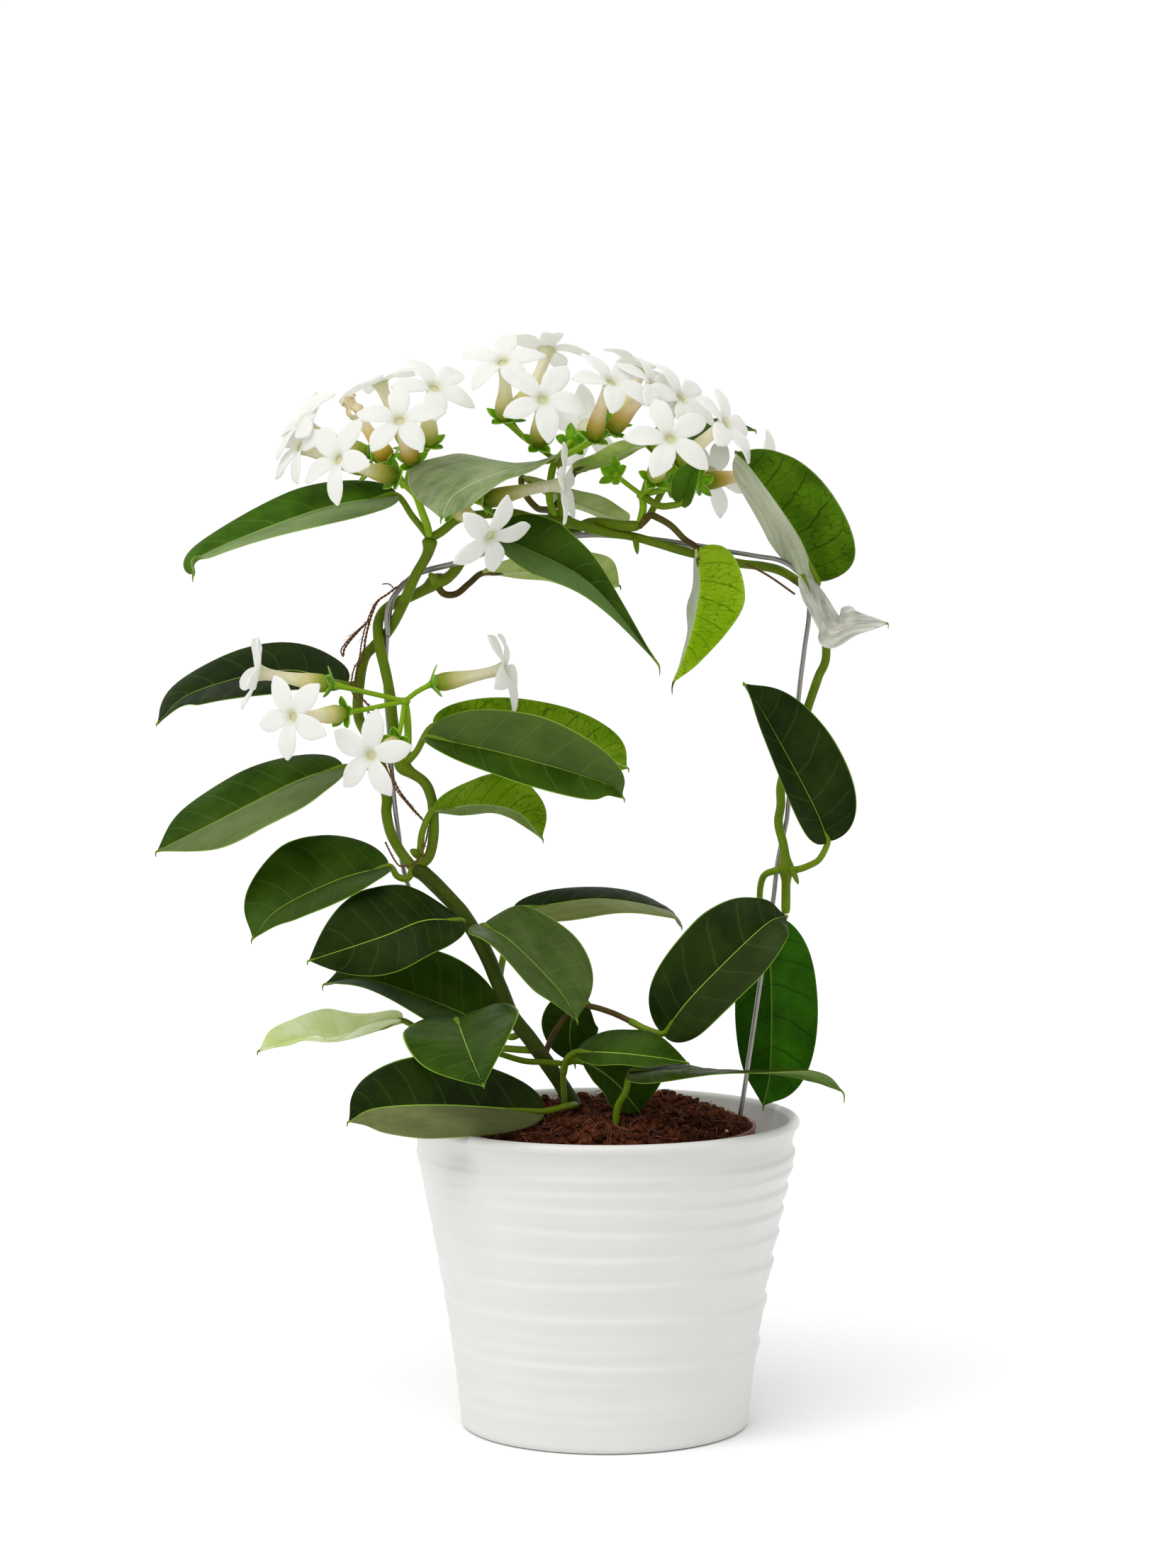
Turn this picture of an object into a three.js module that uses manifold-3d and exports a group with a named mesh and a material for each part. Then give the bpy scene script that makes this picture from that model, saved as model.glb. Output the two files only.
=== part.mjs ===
// Madagascar jasmine (Stephanotis floribunda) trained on a wire hoop, in a nursery pot
// that stands in a ribbed white cachepot. Millimetres, +Z up. The origin is the middle of
// the cachepot's underside, and the hoop stands in the XZ plane, seen from -Y.
import * as THREE from 'three';
import { mergeVertices } from 'three/addons/utils/BufferGeometryUtils.js';
import Module from 'manifold-3d';

const wasm = await Module();
wasm.setup();

// ---------------------------------------------------------------- driving dimensions
const GAP = 0.3; // clearance between pieces that touch

// Cachepot: a thrown stoneware pot with soft ribs and a rolled lip.
const POT_HEIGHT = 123.9;
const POT_FOOT_RADIUS = 57.3;
const POT_SHOULDER_RADIUS = 75.6;
const POT_SHOULDER_HEIGHT = 116;
const POT_FLARE_POWER = 1.3;
const POT_WALL = 4.4;
const POT_FLOOR = 6;
const POT_SIDES = 24;
const LIP_RADIUS = 75.3; // centre line of the rolled lip
const LIP_HALF_THICKNESS = 2.2;
const RIB_HEIGHTS = [110, 103, 96, 88, 78, 66, 52, 34];
const RIB_RELIEF = 0.9;

// Nursery pot: a thin plastic 12 cm pot that stands on the cachepot's floor.
const LINER_RIM_RADIUS = 60;
const LINER_TOP_RADIUS = 57;
const LINER_FOOT_RADIUS = 43;
const LINER_WALL = 1.2;
const LINER_RIM_BAND = 11;
const LINER_BOTTOM = POT_FLOOR + GAP;
const LINER_TOP = 120.5;
const LINER_SIDES = 20;

// Peat: fills the nursery pot and heaps up round the stem.
const SOIL_EDGE_HEIGHT = 118.5;
const SOIL_CROWN = 8;
const SOIL_LUMP = 2.2;
const SOIL_SECTORS = 20;
const SOIL_RINGS = [12, 24, 35, 45, 57.6];
const SOIL_SEED = 7;

// Hoop: two galvanised wires that lie together over the arch.
const WIRE_RADIUS = 0.95;
const WIRE_SIDES = 4;

// Vine.
const OLD_STEM_RADIUS = 3.1;
const LEFT_STEM_RADIUS = 2.1;
const RIGHT_STEM_RADIUS = 2.1;
const TOP_STEM_RADIUS = 1.8;
const SHOOT_RADIUS = 1.2;
const NODE_RADIUS = 3.3; // swelling where leaves and branches part
const STEM_SIDES = 5;
const STEM_STEPS = 0.85; // steps a span between two points of a stem

// Leaves: leathery, oblong, with a raised rib and a short drawn-out tip.
const BLADE_THICKNESS = 0.8;
const BLADE_STATIONS = [0, 0.06, 0.22, 0.44, 0.66, 0.87, 1];
const BLADE_COLUMNS = [-1, -0.55, 0, 0.55, 1];
const TIP_DRAW = 1.1;
const MARGIN_CURL = 0.1;
const MARGIN_WAVE = 0.7;
const RIB_ROOT = 0.09; // the petiole runs on under the blade to here
const BASE_EAR = 1.5; // how far the blade's base reaches back past the petiole
const PETIOLE_RADIUS = 1.2;
const PETIOLE_SIDES = 4;

// Flowers: waxy, a swollen tube opening into five pointed lobes.
const LOBES = 5;
const LOBE_LENGTH = 16.5;
const LOBE_HALF_WIDTH = 5;
const LOBE_THICKNESS = 0.9;
const THROAT_RADIUS = 2.4;
const THROAT_DEPTH = 5;
const TUBE_FOOT = 1.1; // the tube starts this far above the calyx centre
const TUBE_SHARES = [0, 0.14, 0.62]; // of the tube's length
const TUBE_RADII = [1.8, 3.5, 2.2];
const PEDICEL_RADIUS = 1.0;
const PEDUNCLE_RADIUS = 1.5;
const SEPAL_REACH = 6.2;
const SEPAL_NOTCH = 2.3;
const CALYX_DEPTH = 1.4;
const SEPAL_RISE = 1.6;

// Twine left from the nursery, brown and twisted.
const TWINE_RADIUS = 0.5;
const TWINE_SIDES = 4;

// ---------------------------------------------------------------- materials
function finish(color, roughness, metalness = 0) {
  return () => new THREE.MeshStandardMaterial({ color, roughness, metalness });
}
const glazedClay = finish(0xe9e9e7, 0.45);
const brownPlastic = finish(0x7a3a2c, 0.5);
const peat = finish(0x3a2018, 0.95);
const steel = finish(0x8c8f90, 0.35, 0.9);
const greenStem = finish(0x4d7a1a, 0.5);
const oldStem = finish(0x37511a, 0.6);
const leafGreen = finish(0x24421a, 0.35);
const paleLeaf = finish(0x6f8f3f, 0.4);
const petal = finish(0xf3f4ee, 0.45);
const calyxGreen = finish(0x4f9a22, 0.45);
const twineBrown = finish(0x5a3a26, 0.9);

// ---------------------------------------------------------------- mesh and solid helpers
const Z = new THREE.Vector3(0, 0, 1);
const VIEW = new THREE.Vector3(0, 1, 0);

function vec(point) {
  return new THREE.Vector3(...point);
}

function geometryFrom(vertices, triangles) {
  const geometry = new THREE.BufferGeometry();
  const flat = vertices.flatMap((v) => [v.x, v.y, v.z]);
  geometry.setAttribute('position', new THREE.Float32BufferAttribute(flat, 3));
  geometry.setIndex(triangles.flat());
  return geometry;
}

function toSolid(geometry) {
  const bare = geometry.clone();
  bare.deleteAttribute('normal');
  bare.deleteAttribute('uv');
  const merged = mergeVertices(bare, 1e-4);
  return new wasm.Manifold(new wasm.Mesh({
    numProp: 3,
    vertProperties: new Float32Array(merged.attributes.position.array),
    triVerts: new Uint32Array(merged.index.array),
  }));
}

function toGeometry(solid) {
  const mesh = solid.getMesh();
  const geometry = new THREE.BufferGeometry();
  geometry.setAttribute('position', new THREE.BufferAttribute(mesh.vertProperties, 3));
  geometry.setIndex(new THREE.BufferAttribute(mesh.triVerts, 1));
  geometry.computeVertexNormals();
  return geometry;
}

function joined(solids) {
  return solids.reduce((whole, piece) => whole.add(piece));
}

// The largest connected body of a solid: trimming can leave loose scraps behind.
function mainBody(solid) {
  const bodies = solid.decompose();
  return bodies.reduce((best, body) => (body.volume() > best.volume() ? body : best));
}

function curveOf(points) {
  return new THREE.CatmullRomCurve3(points.map(vec), false, 'catmullrom', 0.5);
}

function circleShape(radius, sides) {
  const corners = [];
  for (let i = 0; i < sides; i += 1) {
    const angle = (2 * Math.PI * i) / sides;
    corners.push(new THREE.Vector2(radius * Math.cos(angle), radius * Math.sin(angle)));
  }
  return new THREE.Shape(corners);
}

// A round bar of constant radius along a smooth curve through the points.
function tube(points, radius, sides, stepsPerSpan) {
  const steps = Math.max(2, Math.round((points.length - 1) * stepsPerSpan));
  const geometry = new THREE.ExtrudeGeometry(circleShape(radius, sides), {
    steps,
    bevelEnabled: false,
    extrudePath: curveOf(points),
  });
  return toSolid(geometry);
}

function ball(point, radius) {
  const geometry = new THREE.IcosahedronGeometry(radius, 0);
  geometry.translate(...point);
  return toSolid(geometry);
}

function lathe(profile, sides) {
  const points = profile.map(([r, z]) => new THREE.Vector2(r, z));
  const geometry = new THREE.LatheGeometry(points, sides);
  geometry.rotateX(Math.PI / 2);
  return toSolid(geometry);
}

// A seeded random number generator (mulberry32), so every run draws the same numbers.
function randomFrom(seed) {
  let state = seed;
  return () => {
    state = (state + 0x6d2b79f5) | 0;
    let t = Math.imul(state ^ (state >>> 15), 1 | state);
    t = (t + Math.imul(t ^ (t >>> 7), 61 | t)) ^ t;
    return ((t ^ (t >>> 14)) >>> 0) / 4294967296;
  };
}

// ---------------------------------------------------------------- pots and peat
function potRadius(z) {
  const share = Math.max(z, 0) / POT_SHOULDER_HEIGHT;
  const rise = POT_SHOULDER_RADIUS - POT_FOOT_RADIUS;
  return POT_FOOT_RADIUS + rise * share ** POT_FLARE_POWER;
}

function cachepot() {
  const profile = [[0, 0], [POT_FOOT_RADIUS - 2, 0], [POT_FOOT_RADIUS, 2]];
  const ribs = [...RIB_HEIGHTS].reverse();
  ribs.forEach((z, i) => {
    const below = i === 0 ? 8 : (ribs[i - 1] + z) / 2;
    profile.push([potRadius(below), below]);
    profile.push([potRadius(z) + RIB_RELIEF, z]);
  });
  const lipBase = POT_HEIGHT - 2 * LIP_HALF_THICKNESS;
  profile.push([potRadius(lipBase - 5) - 0.4, lipBase - 5]);
  profile.push([LIP_RADIUS + LIP_HALF_THICKNESS * 0.8, lipBase + 0.6]);
  profile.push([LIP_RADIUS + LIP_HALF_THICKNESS, POT_HEIGHT - LIP_HALF_THICKNESS]);
  profile.push([LIP_RADIUS + LIP_HALF_THICKNESS * 0.6, POT_HEIGHT - 0.5]);
  profile.push([LIP_RADIUS - 0.3, POT_HEIGHT]);
  profile.push([LIP_RADIUS - LIP_HALF_THICKNESS, POT_HEIGHT - LIP_HALF_THICKNESS]);
  profile.push([potRadius(lipBase - 6) - POT_WALL, lipBase - 6]);
  profile.push([potRadius(60) - POT_WALL, 60]);
  profile.push([potRadius(12) - POT_WALL - 1, 12]);
  profile.push([potRadius(12) - POT_WALL - 6, POT_FLOOR]);
  profile.push([0, POT_FLOOR]);
  return lathe(profile, POT_SIDES);
}

function nurseryPot() {
  const bandBottom = LINER_TOP - LINER_RIM_BAND;
  const profile = [
    [0, LINER_BOTTOM],
    [LINER_FOOT_RADIUS, LINER_BOTTOM],
    [LINER_TOP_RADIUS, bandBottom],
    [LINER_RIM_RADIUS - 0.8, bandBottom],
    [LINER_RIM_RADIUS, LINER_TOP],
    [LINER_RIM_RADIUS - LINER_WALL, LINER_TOP],
    [LINER_TOP_RADIUS - LINER_WALL, bandBottom],
    [LINER_FOOT_RADIUS - LINER_WALL, LINER_BOTTOM + LINER_WALL],
    [0, LINER_BOTTOM + LINER_WALL],
  ];
  return lathe(profile, LINER_SIDES);
}

// Height of the peat's surface: a low mound with seeded lumps and one clod at the back right.
function soilHeight(x, y, random) {
  const share = Math.hypot(x, y) / SOIL_RINGS.at(-1);
  const mound = SOIL_CROWN * (1 - share * share);
  const clod = 4 * Math.exp(-((x - 24) ** 2 + (y - 22) ** 2) / 90);
  const lump = SOIL_LUMP * (random() - 0.5) * (share > 0.95 ? 0.4 : 2);
  return SOIL_EDGE_HEIGHT + mound + clod + lump;
}

function soil() {
  const random = randomFrom(SOIL_SEED);
  const foot = LINER_BOTTOM + LINER_WALL + GAP;
  const footRadius = LINER_FOOT_RADIUS - LINER_WALL - GAP - 0.3;
  const vertices = [new THREE.Vector3(0, 0, soilHeight(0, 0, random))];
  const ringStart = (ring) => 1 + ring * SOIL_SECTORS;
  SOIL_RINGS.forEach((radius) => {
    for (let i = 0; i < SOIL_SECTORS; i += 1) {
      const angle = (2 * Math.PI * i) / SOIL_SECTORS;
      const x = radius * Math.cos(angle);
      const y = radius * Math.sin(angle);
      vertices.push(new THREE.Vector3(x, y, soilHeight(x, y, random)));
    }
  });
  const bandBottom = LINER_TOP - LINER_RIM_BAND;
  const neckRadius = LINER_TOP_RADIUS - LINER_WALL - 2 * GAP;
  [[neckRadius, bandBottom], [footRadius, foot]].forEach(([radius, z]) => {
    for (let i = 0; i < SOIL_SECTORS; i += 1) {
      const angle = (2 * Math.PI * i) / SOIL_SECTORS;
      vertices.push(new THREE.Vector3(radius * Math.cos(angle), radius * Math.sin(angle), z));
    }
  });
  const rings = SOIL_RINGS.length + 2;
  vertices.push(new THREE.Vector3(0, 0, foot));
  const bottom = vertices.length - 1;
  const triangles = [];
  for (let i = 0; i < SOIL_SECTORS; i += 1) {
    const j = (i + 1) % SOIL_SECTORS;
    triangles.push([0, ringStart(0) + i, ringStart(0) + j]);
    for (let ring = 0; ring + 1 < rings; ring += 1) {
      const a = ringStart(ring);
      const b = ringStart(ring + 1);
      triangles.push([a + i, b + i, b + j], [a + i, b + j, a + j]);
    }
    const last = ringStart(rings - 1);
    triangles.push([last + i, bottom, last + j]);
  }
  return toSolid(geometryFrom(vertices, triangles));
}

// ---------------------------------------------------------------- leaves
function bladeProfile({ widest, taper }, u) {
  if (u < widest) {
    return Math.sqrt(Math.max(0, 1 - (1 - u / widest) ** 2));
  }
  const share = (u - widest) / (1 - widest);
  return Math.max(0, 1 - share ** taper) ** TIP_DRAW;
}

// One point of a blade's middle surface and the blade's normal there. u runs from the
// base to the tip along the rib, and v from margin to margin across it.
function bladePoint(leaf, curve, u, v) {
  const centre = curve.getPoint(u);
  const ahead = curve.getPoint(Math.min(1, u + 1e-3));
  const behind = curve.getPoint(Math.max(0, u - 1e-3));
  const along = ahead.sub(behind).normalize();
  const side = along.clone().cross(VIEW).normalize();
  const face = along.clone().cross(side);
  const roll = THREE.MathUtils.degToRad(leaf.roll + leaf.twist * (u - 0.5));
  const lateral = side.clone().multiplyScalar(Math.cos(roll)).addScaledVector(face, Math.sin(roll));
  const normal = face.clone().multiplyScalar(Math.cos(roll)).addScaledVector(side, -Math.sin(roll));
  const fold = THREE.MathUtils.degToRad(leaf.fold);
  const shape = bladeProfile(leaf, u);
  const reach = Math.abs(v) * shape * leaf.halves[v < 0 ? 0 : 1];
  const wave = MARGIN_WAVE * v * v * shape * Math.sin(2 * Math.PI * (2 * u + (v > 0 ? 0.13 : 0.39)));
  const ear = BASE_EAR * Math.abs(v) ** 1.5 * Math.exp(-((u / 0.12) ** 2)) * Math.sqrt(shape);
  const point = centre
    .addScaledVector(lateral, Math.sign(v) * reach * Math.cos(fold))
    .addScaledVector(normal, reach * Math.sin(fold) - MARGIN_CURL * reach * Math.abs(v) + wave)
    .addScaledVector(along, -ear);
  return { point, normal };
}

function blade(leaf) {
  const curve = curveOf(leaf.rib);
  const last = BLADE_STATIONS.length - 1;
  const vertices = [];
  const index = { top: [], bottom: [] };
  BLADE_STATIONS.forEach((u, i) => {
    const columns = i === 0 || i === last ? [0] : BLADE_COLUMNS;
    const row = columns.map((v) => bladePoint(leaf, curve, u, v));
    [['top', 0.5], ['bottom', -0.5]].forEach(([name, share]) => {
      const first = vertices.length;
      row.forEach(({ point, normal }) => {
        vertices.push(point.clone().addScaledVector(normal, share * BLADE_THICKNESS));
      });
      index[name].push(BLADE_COLUMNS.map((_, j) => first + (columns.length > 1 ? j : 0)));
    });
  });
  const triangles = [];
  const keep = (a, b, c) => {
    if (a !== b && b !== c && a !== c) triangles.push([a, b, c]);
  };
  const edge = BLADE_COLUMNS.length - 1;
  for (let i = 0; i < last; i += 1) {
    const { top, bottom } = index;
    for (let j = 0; j < edge; j += 1) {
      keep(top[i][j], top[i + 1][j], top[i + 1][j + 1]);
      keep(top[i][j], top[i + 1][j + 1], top[i][j + 1]);
      keep(bottom[i][j], bottom[i + 1][j + 1], bottom[i + 1][j]);
      keep(bottom[i][j], bottom[i][j + 1], bottom[i + 1][j + 1]);
    }
    keep(top[i][edge], top[i + 1][edge], bottom[i + 1][edge]);
    keep(top[i][edge], bottom[i + 1][edge], bottom[i][edge]);
    keep(top[i][0], bottom[i + 1][0], top[i + 1][0]);
    keep(top[i][0], bottom[i][0], bottom[i + 1][0]);
  }
  return toSolid(geometryFrom(vertices, triangles));
}

// A blade on its petiole. The petiole runs on under the blade as the root of the rib.
function leafSolid(leaf) {
  const curve = curveOf(leaf.rib);
  const root = bladePoint(leaf, curve, RIB_ROOT, 0);
  const under = root.point.addScaledVector(root.normal, -0.6).toArray();
  const route = [...leaf.petiole, leaf.rib[0], under];
  return blade(leaf).add(tube(route, PETIOLE_RADIUS, PETIOLE_SIDES, 0.7));
}

// petiole: points from the stem to the blade's base. rib: four points from the base to the
// tip. halves: width of the left and the right half, laid flat. roll turns the blade about
// its rib, from facing -Y; twist is the change of roll from base to tip; fold lifts both
// halves towards the upper face. Angles are in degrees. widest is the share of the length
// where the blade is widest, and a high taper keeps it wide towards the tip.
const LEAVES = {
  leaf_top_left: {
    petiole: [[-69, 0, 353], [-72, -1, 357], [-76, -2, 362]],
    rib: [[-82, -3, 370], [-113, -12, 364], [-156, -20, 347], [-160, -26, 339]],
    halves: [16, 19], roll: 62, twist: 16, fold: 17, widest: 0.36, taper: 1.3,
  },
  leaf_top_arched: {
    petiole: [[-17, 0, 360], [-17.5, -3.5, 366], [-17, -5, 377]],
    rib: [[-18.8, -6, 384.5], [-29.4, -18, 382], [-44.6, -29, 377.3], [-58, -41, 370], [-63, -43, 361]],
    halves: [28, 10.4], roll: 62, twist: -84, fold: 8, widest: 0.5, taper: 3.2,
  },
  leaf_top_hanging: {
    petiole: [[-54, -2, 362], [-52, -5, 358], [-48, -8, 356]],
    rib: [[-43, -10.5, 354], [-28.4, -14.5, 348], [-9.5, -20, 338.7], [4, -26, 326], [20.5, -24, 304.5]],
    halves: [14.2, 16.4], roll: -10, twist: 60, fold: 38, widest: 0.33, taper: 0.9,
  },
  leaf_top_back_low: {
    pale: true,
    petiole: [[-67, 11, 335], [-64, 11, 331], [-59, 11, 331], [-54, 12, 335]],
    rib: [[-49, 14, 339], [-28, 23, 340], [-10, 31, 337.5], [6, 38, 333.5]],
    halves: [15, 13], roll: -123, twist: -33, fold: 17, widest: 0.5, taper: 4,
  },
  leaf_top_back_high: {
    piece: 'leaves_top_back_pair',
    pale: true,
    petiole: [[-19, 0, 361], [-22, 6, 364], [-27, 12, 365], [-32, 15, 371]],
    rib: [[-33, 16, 377], [-13, 26, 368], [2, 34, 362], [10, 40, 359]],
    halves: [12, 12], roll: -111, twist: -8, fold: 12, widest: 0.42, taper: 2.1,
  },
  leaf_top_behind_flowers: {
    piece: 'leaves_top_back_pair',
    petiole: [[-19, 0, 361], [-21.5, 6, 364], [-17, 6, 369]],
    rib: [[-12, 4, 379], [3, 13, 385], [16, 24, 390], [30, 36, 391]],
    halves: [13, 13], roll: -75, twist: -4, fold: 12, widest: 0.42, taper: 2.1,
  },
  leaf_right_behind_flowers: {
    petiole: [[13.5, 1, 358], [17.5, 9, 362], [23, 14, 372]],
    rib: [[29, 16, 381], [39, 21, 392], [49, 25, 397], [60, 28, 396]],
    halves: [12, 12], roll: -70, twist: 0, fold: 12, widest: 0.42, taper: 2.1,
  },
  leaf_right_large: {
    piece: 'leaves_right_pair',
    pale: true,
    petiole: [[78, 15, 335], [82.5, 9, 333.5]],
    rib: [[84, 0, 336], [76, -7, 355], [58, -12, 380], [51, -14, 387]],
    halves: [25, 27], roll: 123, twist: -25, fold: 15, widest: 0.43, taper: 1.8,
  },
  leaf_right_translucent: {
    pale: true,
    petiole: [[13.5, 0, 358], [17.5, -2, 362], [21, -3, 361], [26, -4, 358], [31, -4, 353]],
    rib: [[36.3, -3, 349], [37.7, -8.5, 334.8], [35.4, -12, 320.5], [31.6, -13, 307.8], [26.7, -12.5, 296.7]],
    halves: [22, 20.4], roll: -120, twist: 9, fold: 26, widest: 0.36, taper: 1.2,
  },
  leaf_right_creased: {
    piece: 'leaves_right_pair',
    petiole: [[82.5, 9, 333.5], [81.5, 4, 334]],
    rib: [[77.5, -5, 338], [82.8, -11, 327], [88.8, -13, 317], [98.3, -19, 320], [111, -13, 320]],
    halves: [12.6, 10.3], roll: -56, twist: -13, fold: 19, widest: 0.7, taper: 1.2,
  },
  leaf_right_dark: {
    petiole: [[72, 4, 222], [76, 0, 222], [81, -3, 224], [85, -5, 227]],
    rib: [[88, -6, 234], [81, -13, 250], [64, -18, 281], [54, -22, 297]],
    halves: [20, 12], roll: 30, twist: 58, fold: 28, widest: 0.49, taper: 1.8,
  },
  leaf_right_low_back: {
    pale: true,
    petiole: [[72, 4, 222], [67, 4.5, 221], [63, 9, 218], [62, 14, 209]],
    rib: [[64, 16, 200], [67, 26, 174], [67, 28, 139], [64, 22, 124]],
    halves: [21, 15], roll: 173, twist: 28, fold: 16, widest: 0.44, taper: 1.8,
  },
  leaf_low_right_large: {
    piece: 'shoot_brown',
    petiole: [[10, -12, 163], [16, -16, 160.5]],
    rib: [[23, -18, 159], [35, -28, 176], [61, -30, 202], [71, -22, 206]],
    halves: [17, 21], roll: -31, twist: -8, fold: 14, widest: 0.52, taper: 1.4,
  },
  leaf_low_right_flat: {
    petiole: [[4, -28, 116], [4.5, -29, 130], [8, -31, 138]],
    rib: [[10.3, -32, 145.9], [31, -44, 148], [53, -49, 148.4], [78, -51, 148.2], [91, -50, 141]],
    halves: [19, 19], roll: -98, twist: -28, fold: 2, widest: 0.3, taper: 3.2,
  },
  leaf_low_centre: {
    piece: 'shoot_low',
    petiole: [[-16.5, -16.5, 143], [-15, -20, 149]],
    rib: [[-11, -25, 152.6], [4, -31, 152.9], [19, -36, 152], [32, -40, 150.4]],
    halves: [8, 19], roll: -62, twist: 4, fold: 3, widest: 0.34, taper: 1.9,
  },
  leaf_mid_right: {
    petiole: [[-51, -5, 195], [-50, -8, 198]],
    rib: [[-48, -12, 201], [-37, -25, 196], [-19, -34, 179], [-11, -40, 167]],
    halves: [18, 21], roll: -49, twist: 19, fold: 27, widest: 0.49, taper: 1.9,
  },
  leaf_mid_back: {
    petiole: [[-42, -7, 178], [-41, 4, 184], [-39, 10, 193]],
    rib: [[-36, 14, 204], [-3, 22, 208], [24, 29, 203], [31, 34, 196]],
    halves: [16, 12], roll: -77, twist: -45, fold: 8, widest: 0.37, taper: 1.8,
  },
  leaf_left_upper: {
    petiole: [[-98, 14, 296], [-100, 12, 295]],
    rib: [[-103, 10, 295], [-129, 20, 300], [-165, 22, 291], [-179, 14, 279]],
    halves: [18, 19], roll: 60, twist: 16, fold: 12, widest: 0.47, taper: 1.7,
  },
  leaf_left_middle: {
    petiole: [[-90, 12, 263], [-97, 8, 262]],
    rib: [[-104, 4, 262.4], [-120, 1.5, 257.7], [-138, -2.5, 249.2], [-158, -8, 239.1], [-176, -14, 230.5]],
    halves: [22.8, 28], roll: 62, twist: -5, fold: 12, widest: 0.57, taper: 2.2,
  },
  leaf_left_lower: {
    petiole: [[-76, -3, 223], [-78, -5, 219], [-82, -7, 220]],
    rib: [[-85, -8, 224], [-105, -13, 219], [-128, -19, 208], [-138, -24, 197]],
    halves: [27, 20], roll: 53, twist: -22, fold: 20, widest: 0.47, taper: 1.4,
  },
  leaf_low_left_dark: {
    petiole: [[-55, -5, 203], [-56, -8, 202]],
    rib: [[-57, -12, 203], [-71, -24, 204], [-87, -31, 198.5], [-115, -38, 190]],
    halves: [22, 16], roll: 34, twist: -60, fold: 4, widest: 0.52, taper: 3,
  },
  leaf_low_left_back: {
    petiole: [[-32, -9, 159], [-37, -6, 156]],
    rib: [[-43, -2, 158], [-65, -7, 169], [-94, -8, 179], [-111, -6, 177]],
    halves: [24, 20], roll: 62, twist: 38, fold: 22, widest: 0.41, taper: 2.2,
  },
  leaf_low_left_pale: {
    pale: true,
    petiole: [[-28, -9, 151], [-42, -1, 151], [-60, 5, 153], [-72, 7, 156]],
    rib: [[-81, 6, 161], [-106, 10, 153], [-122, 9, 153], [-138, 4, 149]],
    halves: [22, 21], roll: 82, twist: -14, fold: 22, widest: 0.37, taper: 2.5,
  },
  leaf_heart: {
    piece: 'shoot_low',
    petiole: [[-42, -17, 151], [-51, -21, 157]],
    rib: [[-58, -24, 165], [-55, -44, 161], [-51, -65, 155], [-46, -86, 148]],
    halves: [25, 25], roll: -19, twist: 22, fold: 24, widest: 0.42, taper: 2.1,
  },
  leaf_over_rim: {
    petiole: [[-12, -7, 128], [-12, -14, 130], [-15, -23, 131]],
    rib: [[-24, -30, 130], [-61, -60.5, 137], [-87, -72, 137.5], [-98, -70, 132]],
    halves: [19, 13], roll: 16, twist: 0, fold: 6, widest: 0.42, taper: 1.6,
  },
  leaf_middle_front: {
    piece: 'leaves_middle_pair',
    petiole: [[-79, 2, 264], [-74.5, -2.5, 269]],
    rib: [[-70, -10, 275], [-38, -22, 269], [-2, -30, 259], [7, -34, 253]],
    halves: [19, 19], roll: -27, twist: 44, fold: 35, widest: 0.41, taper: 1.3,
  },
  leaf_middle_behind: {
    piece: 'leaves_middle_pair',
    pale: true,
    petiole: [[-79, 2, 264], [-74.5, -2, 269]],
    rib: [[-68, 2, 279], [-32, 12, 273], [-5, 13, 267], [9, 4, 262]],
    halves: [20, 19], roll: -210, twist: -6, fold: 13, widest: 0.43, taper: 1.8,
  },
  leaf_middle_pale: {
    pale: true,
    petiole: [[-73, -3, 224], [-73, -3, 231], [-72, -3, 238]],
    rib: [[-68, -2, 246], [-50, 7, 248], [-34, 13, 244], [-25, 16, 233]],
    halves: [18, 15], roll: -127, twist: -18, fold: 18, widest: 0.43, taper: 1.9,
  },
};

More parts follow.
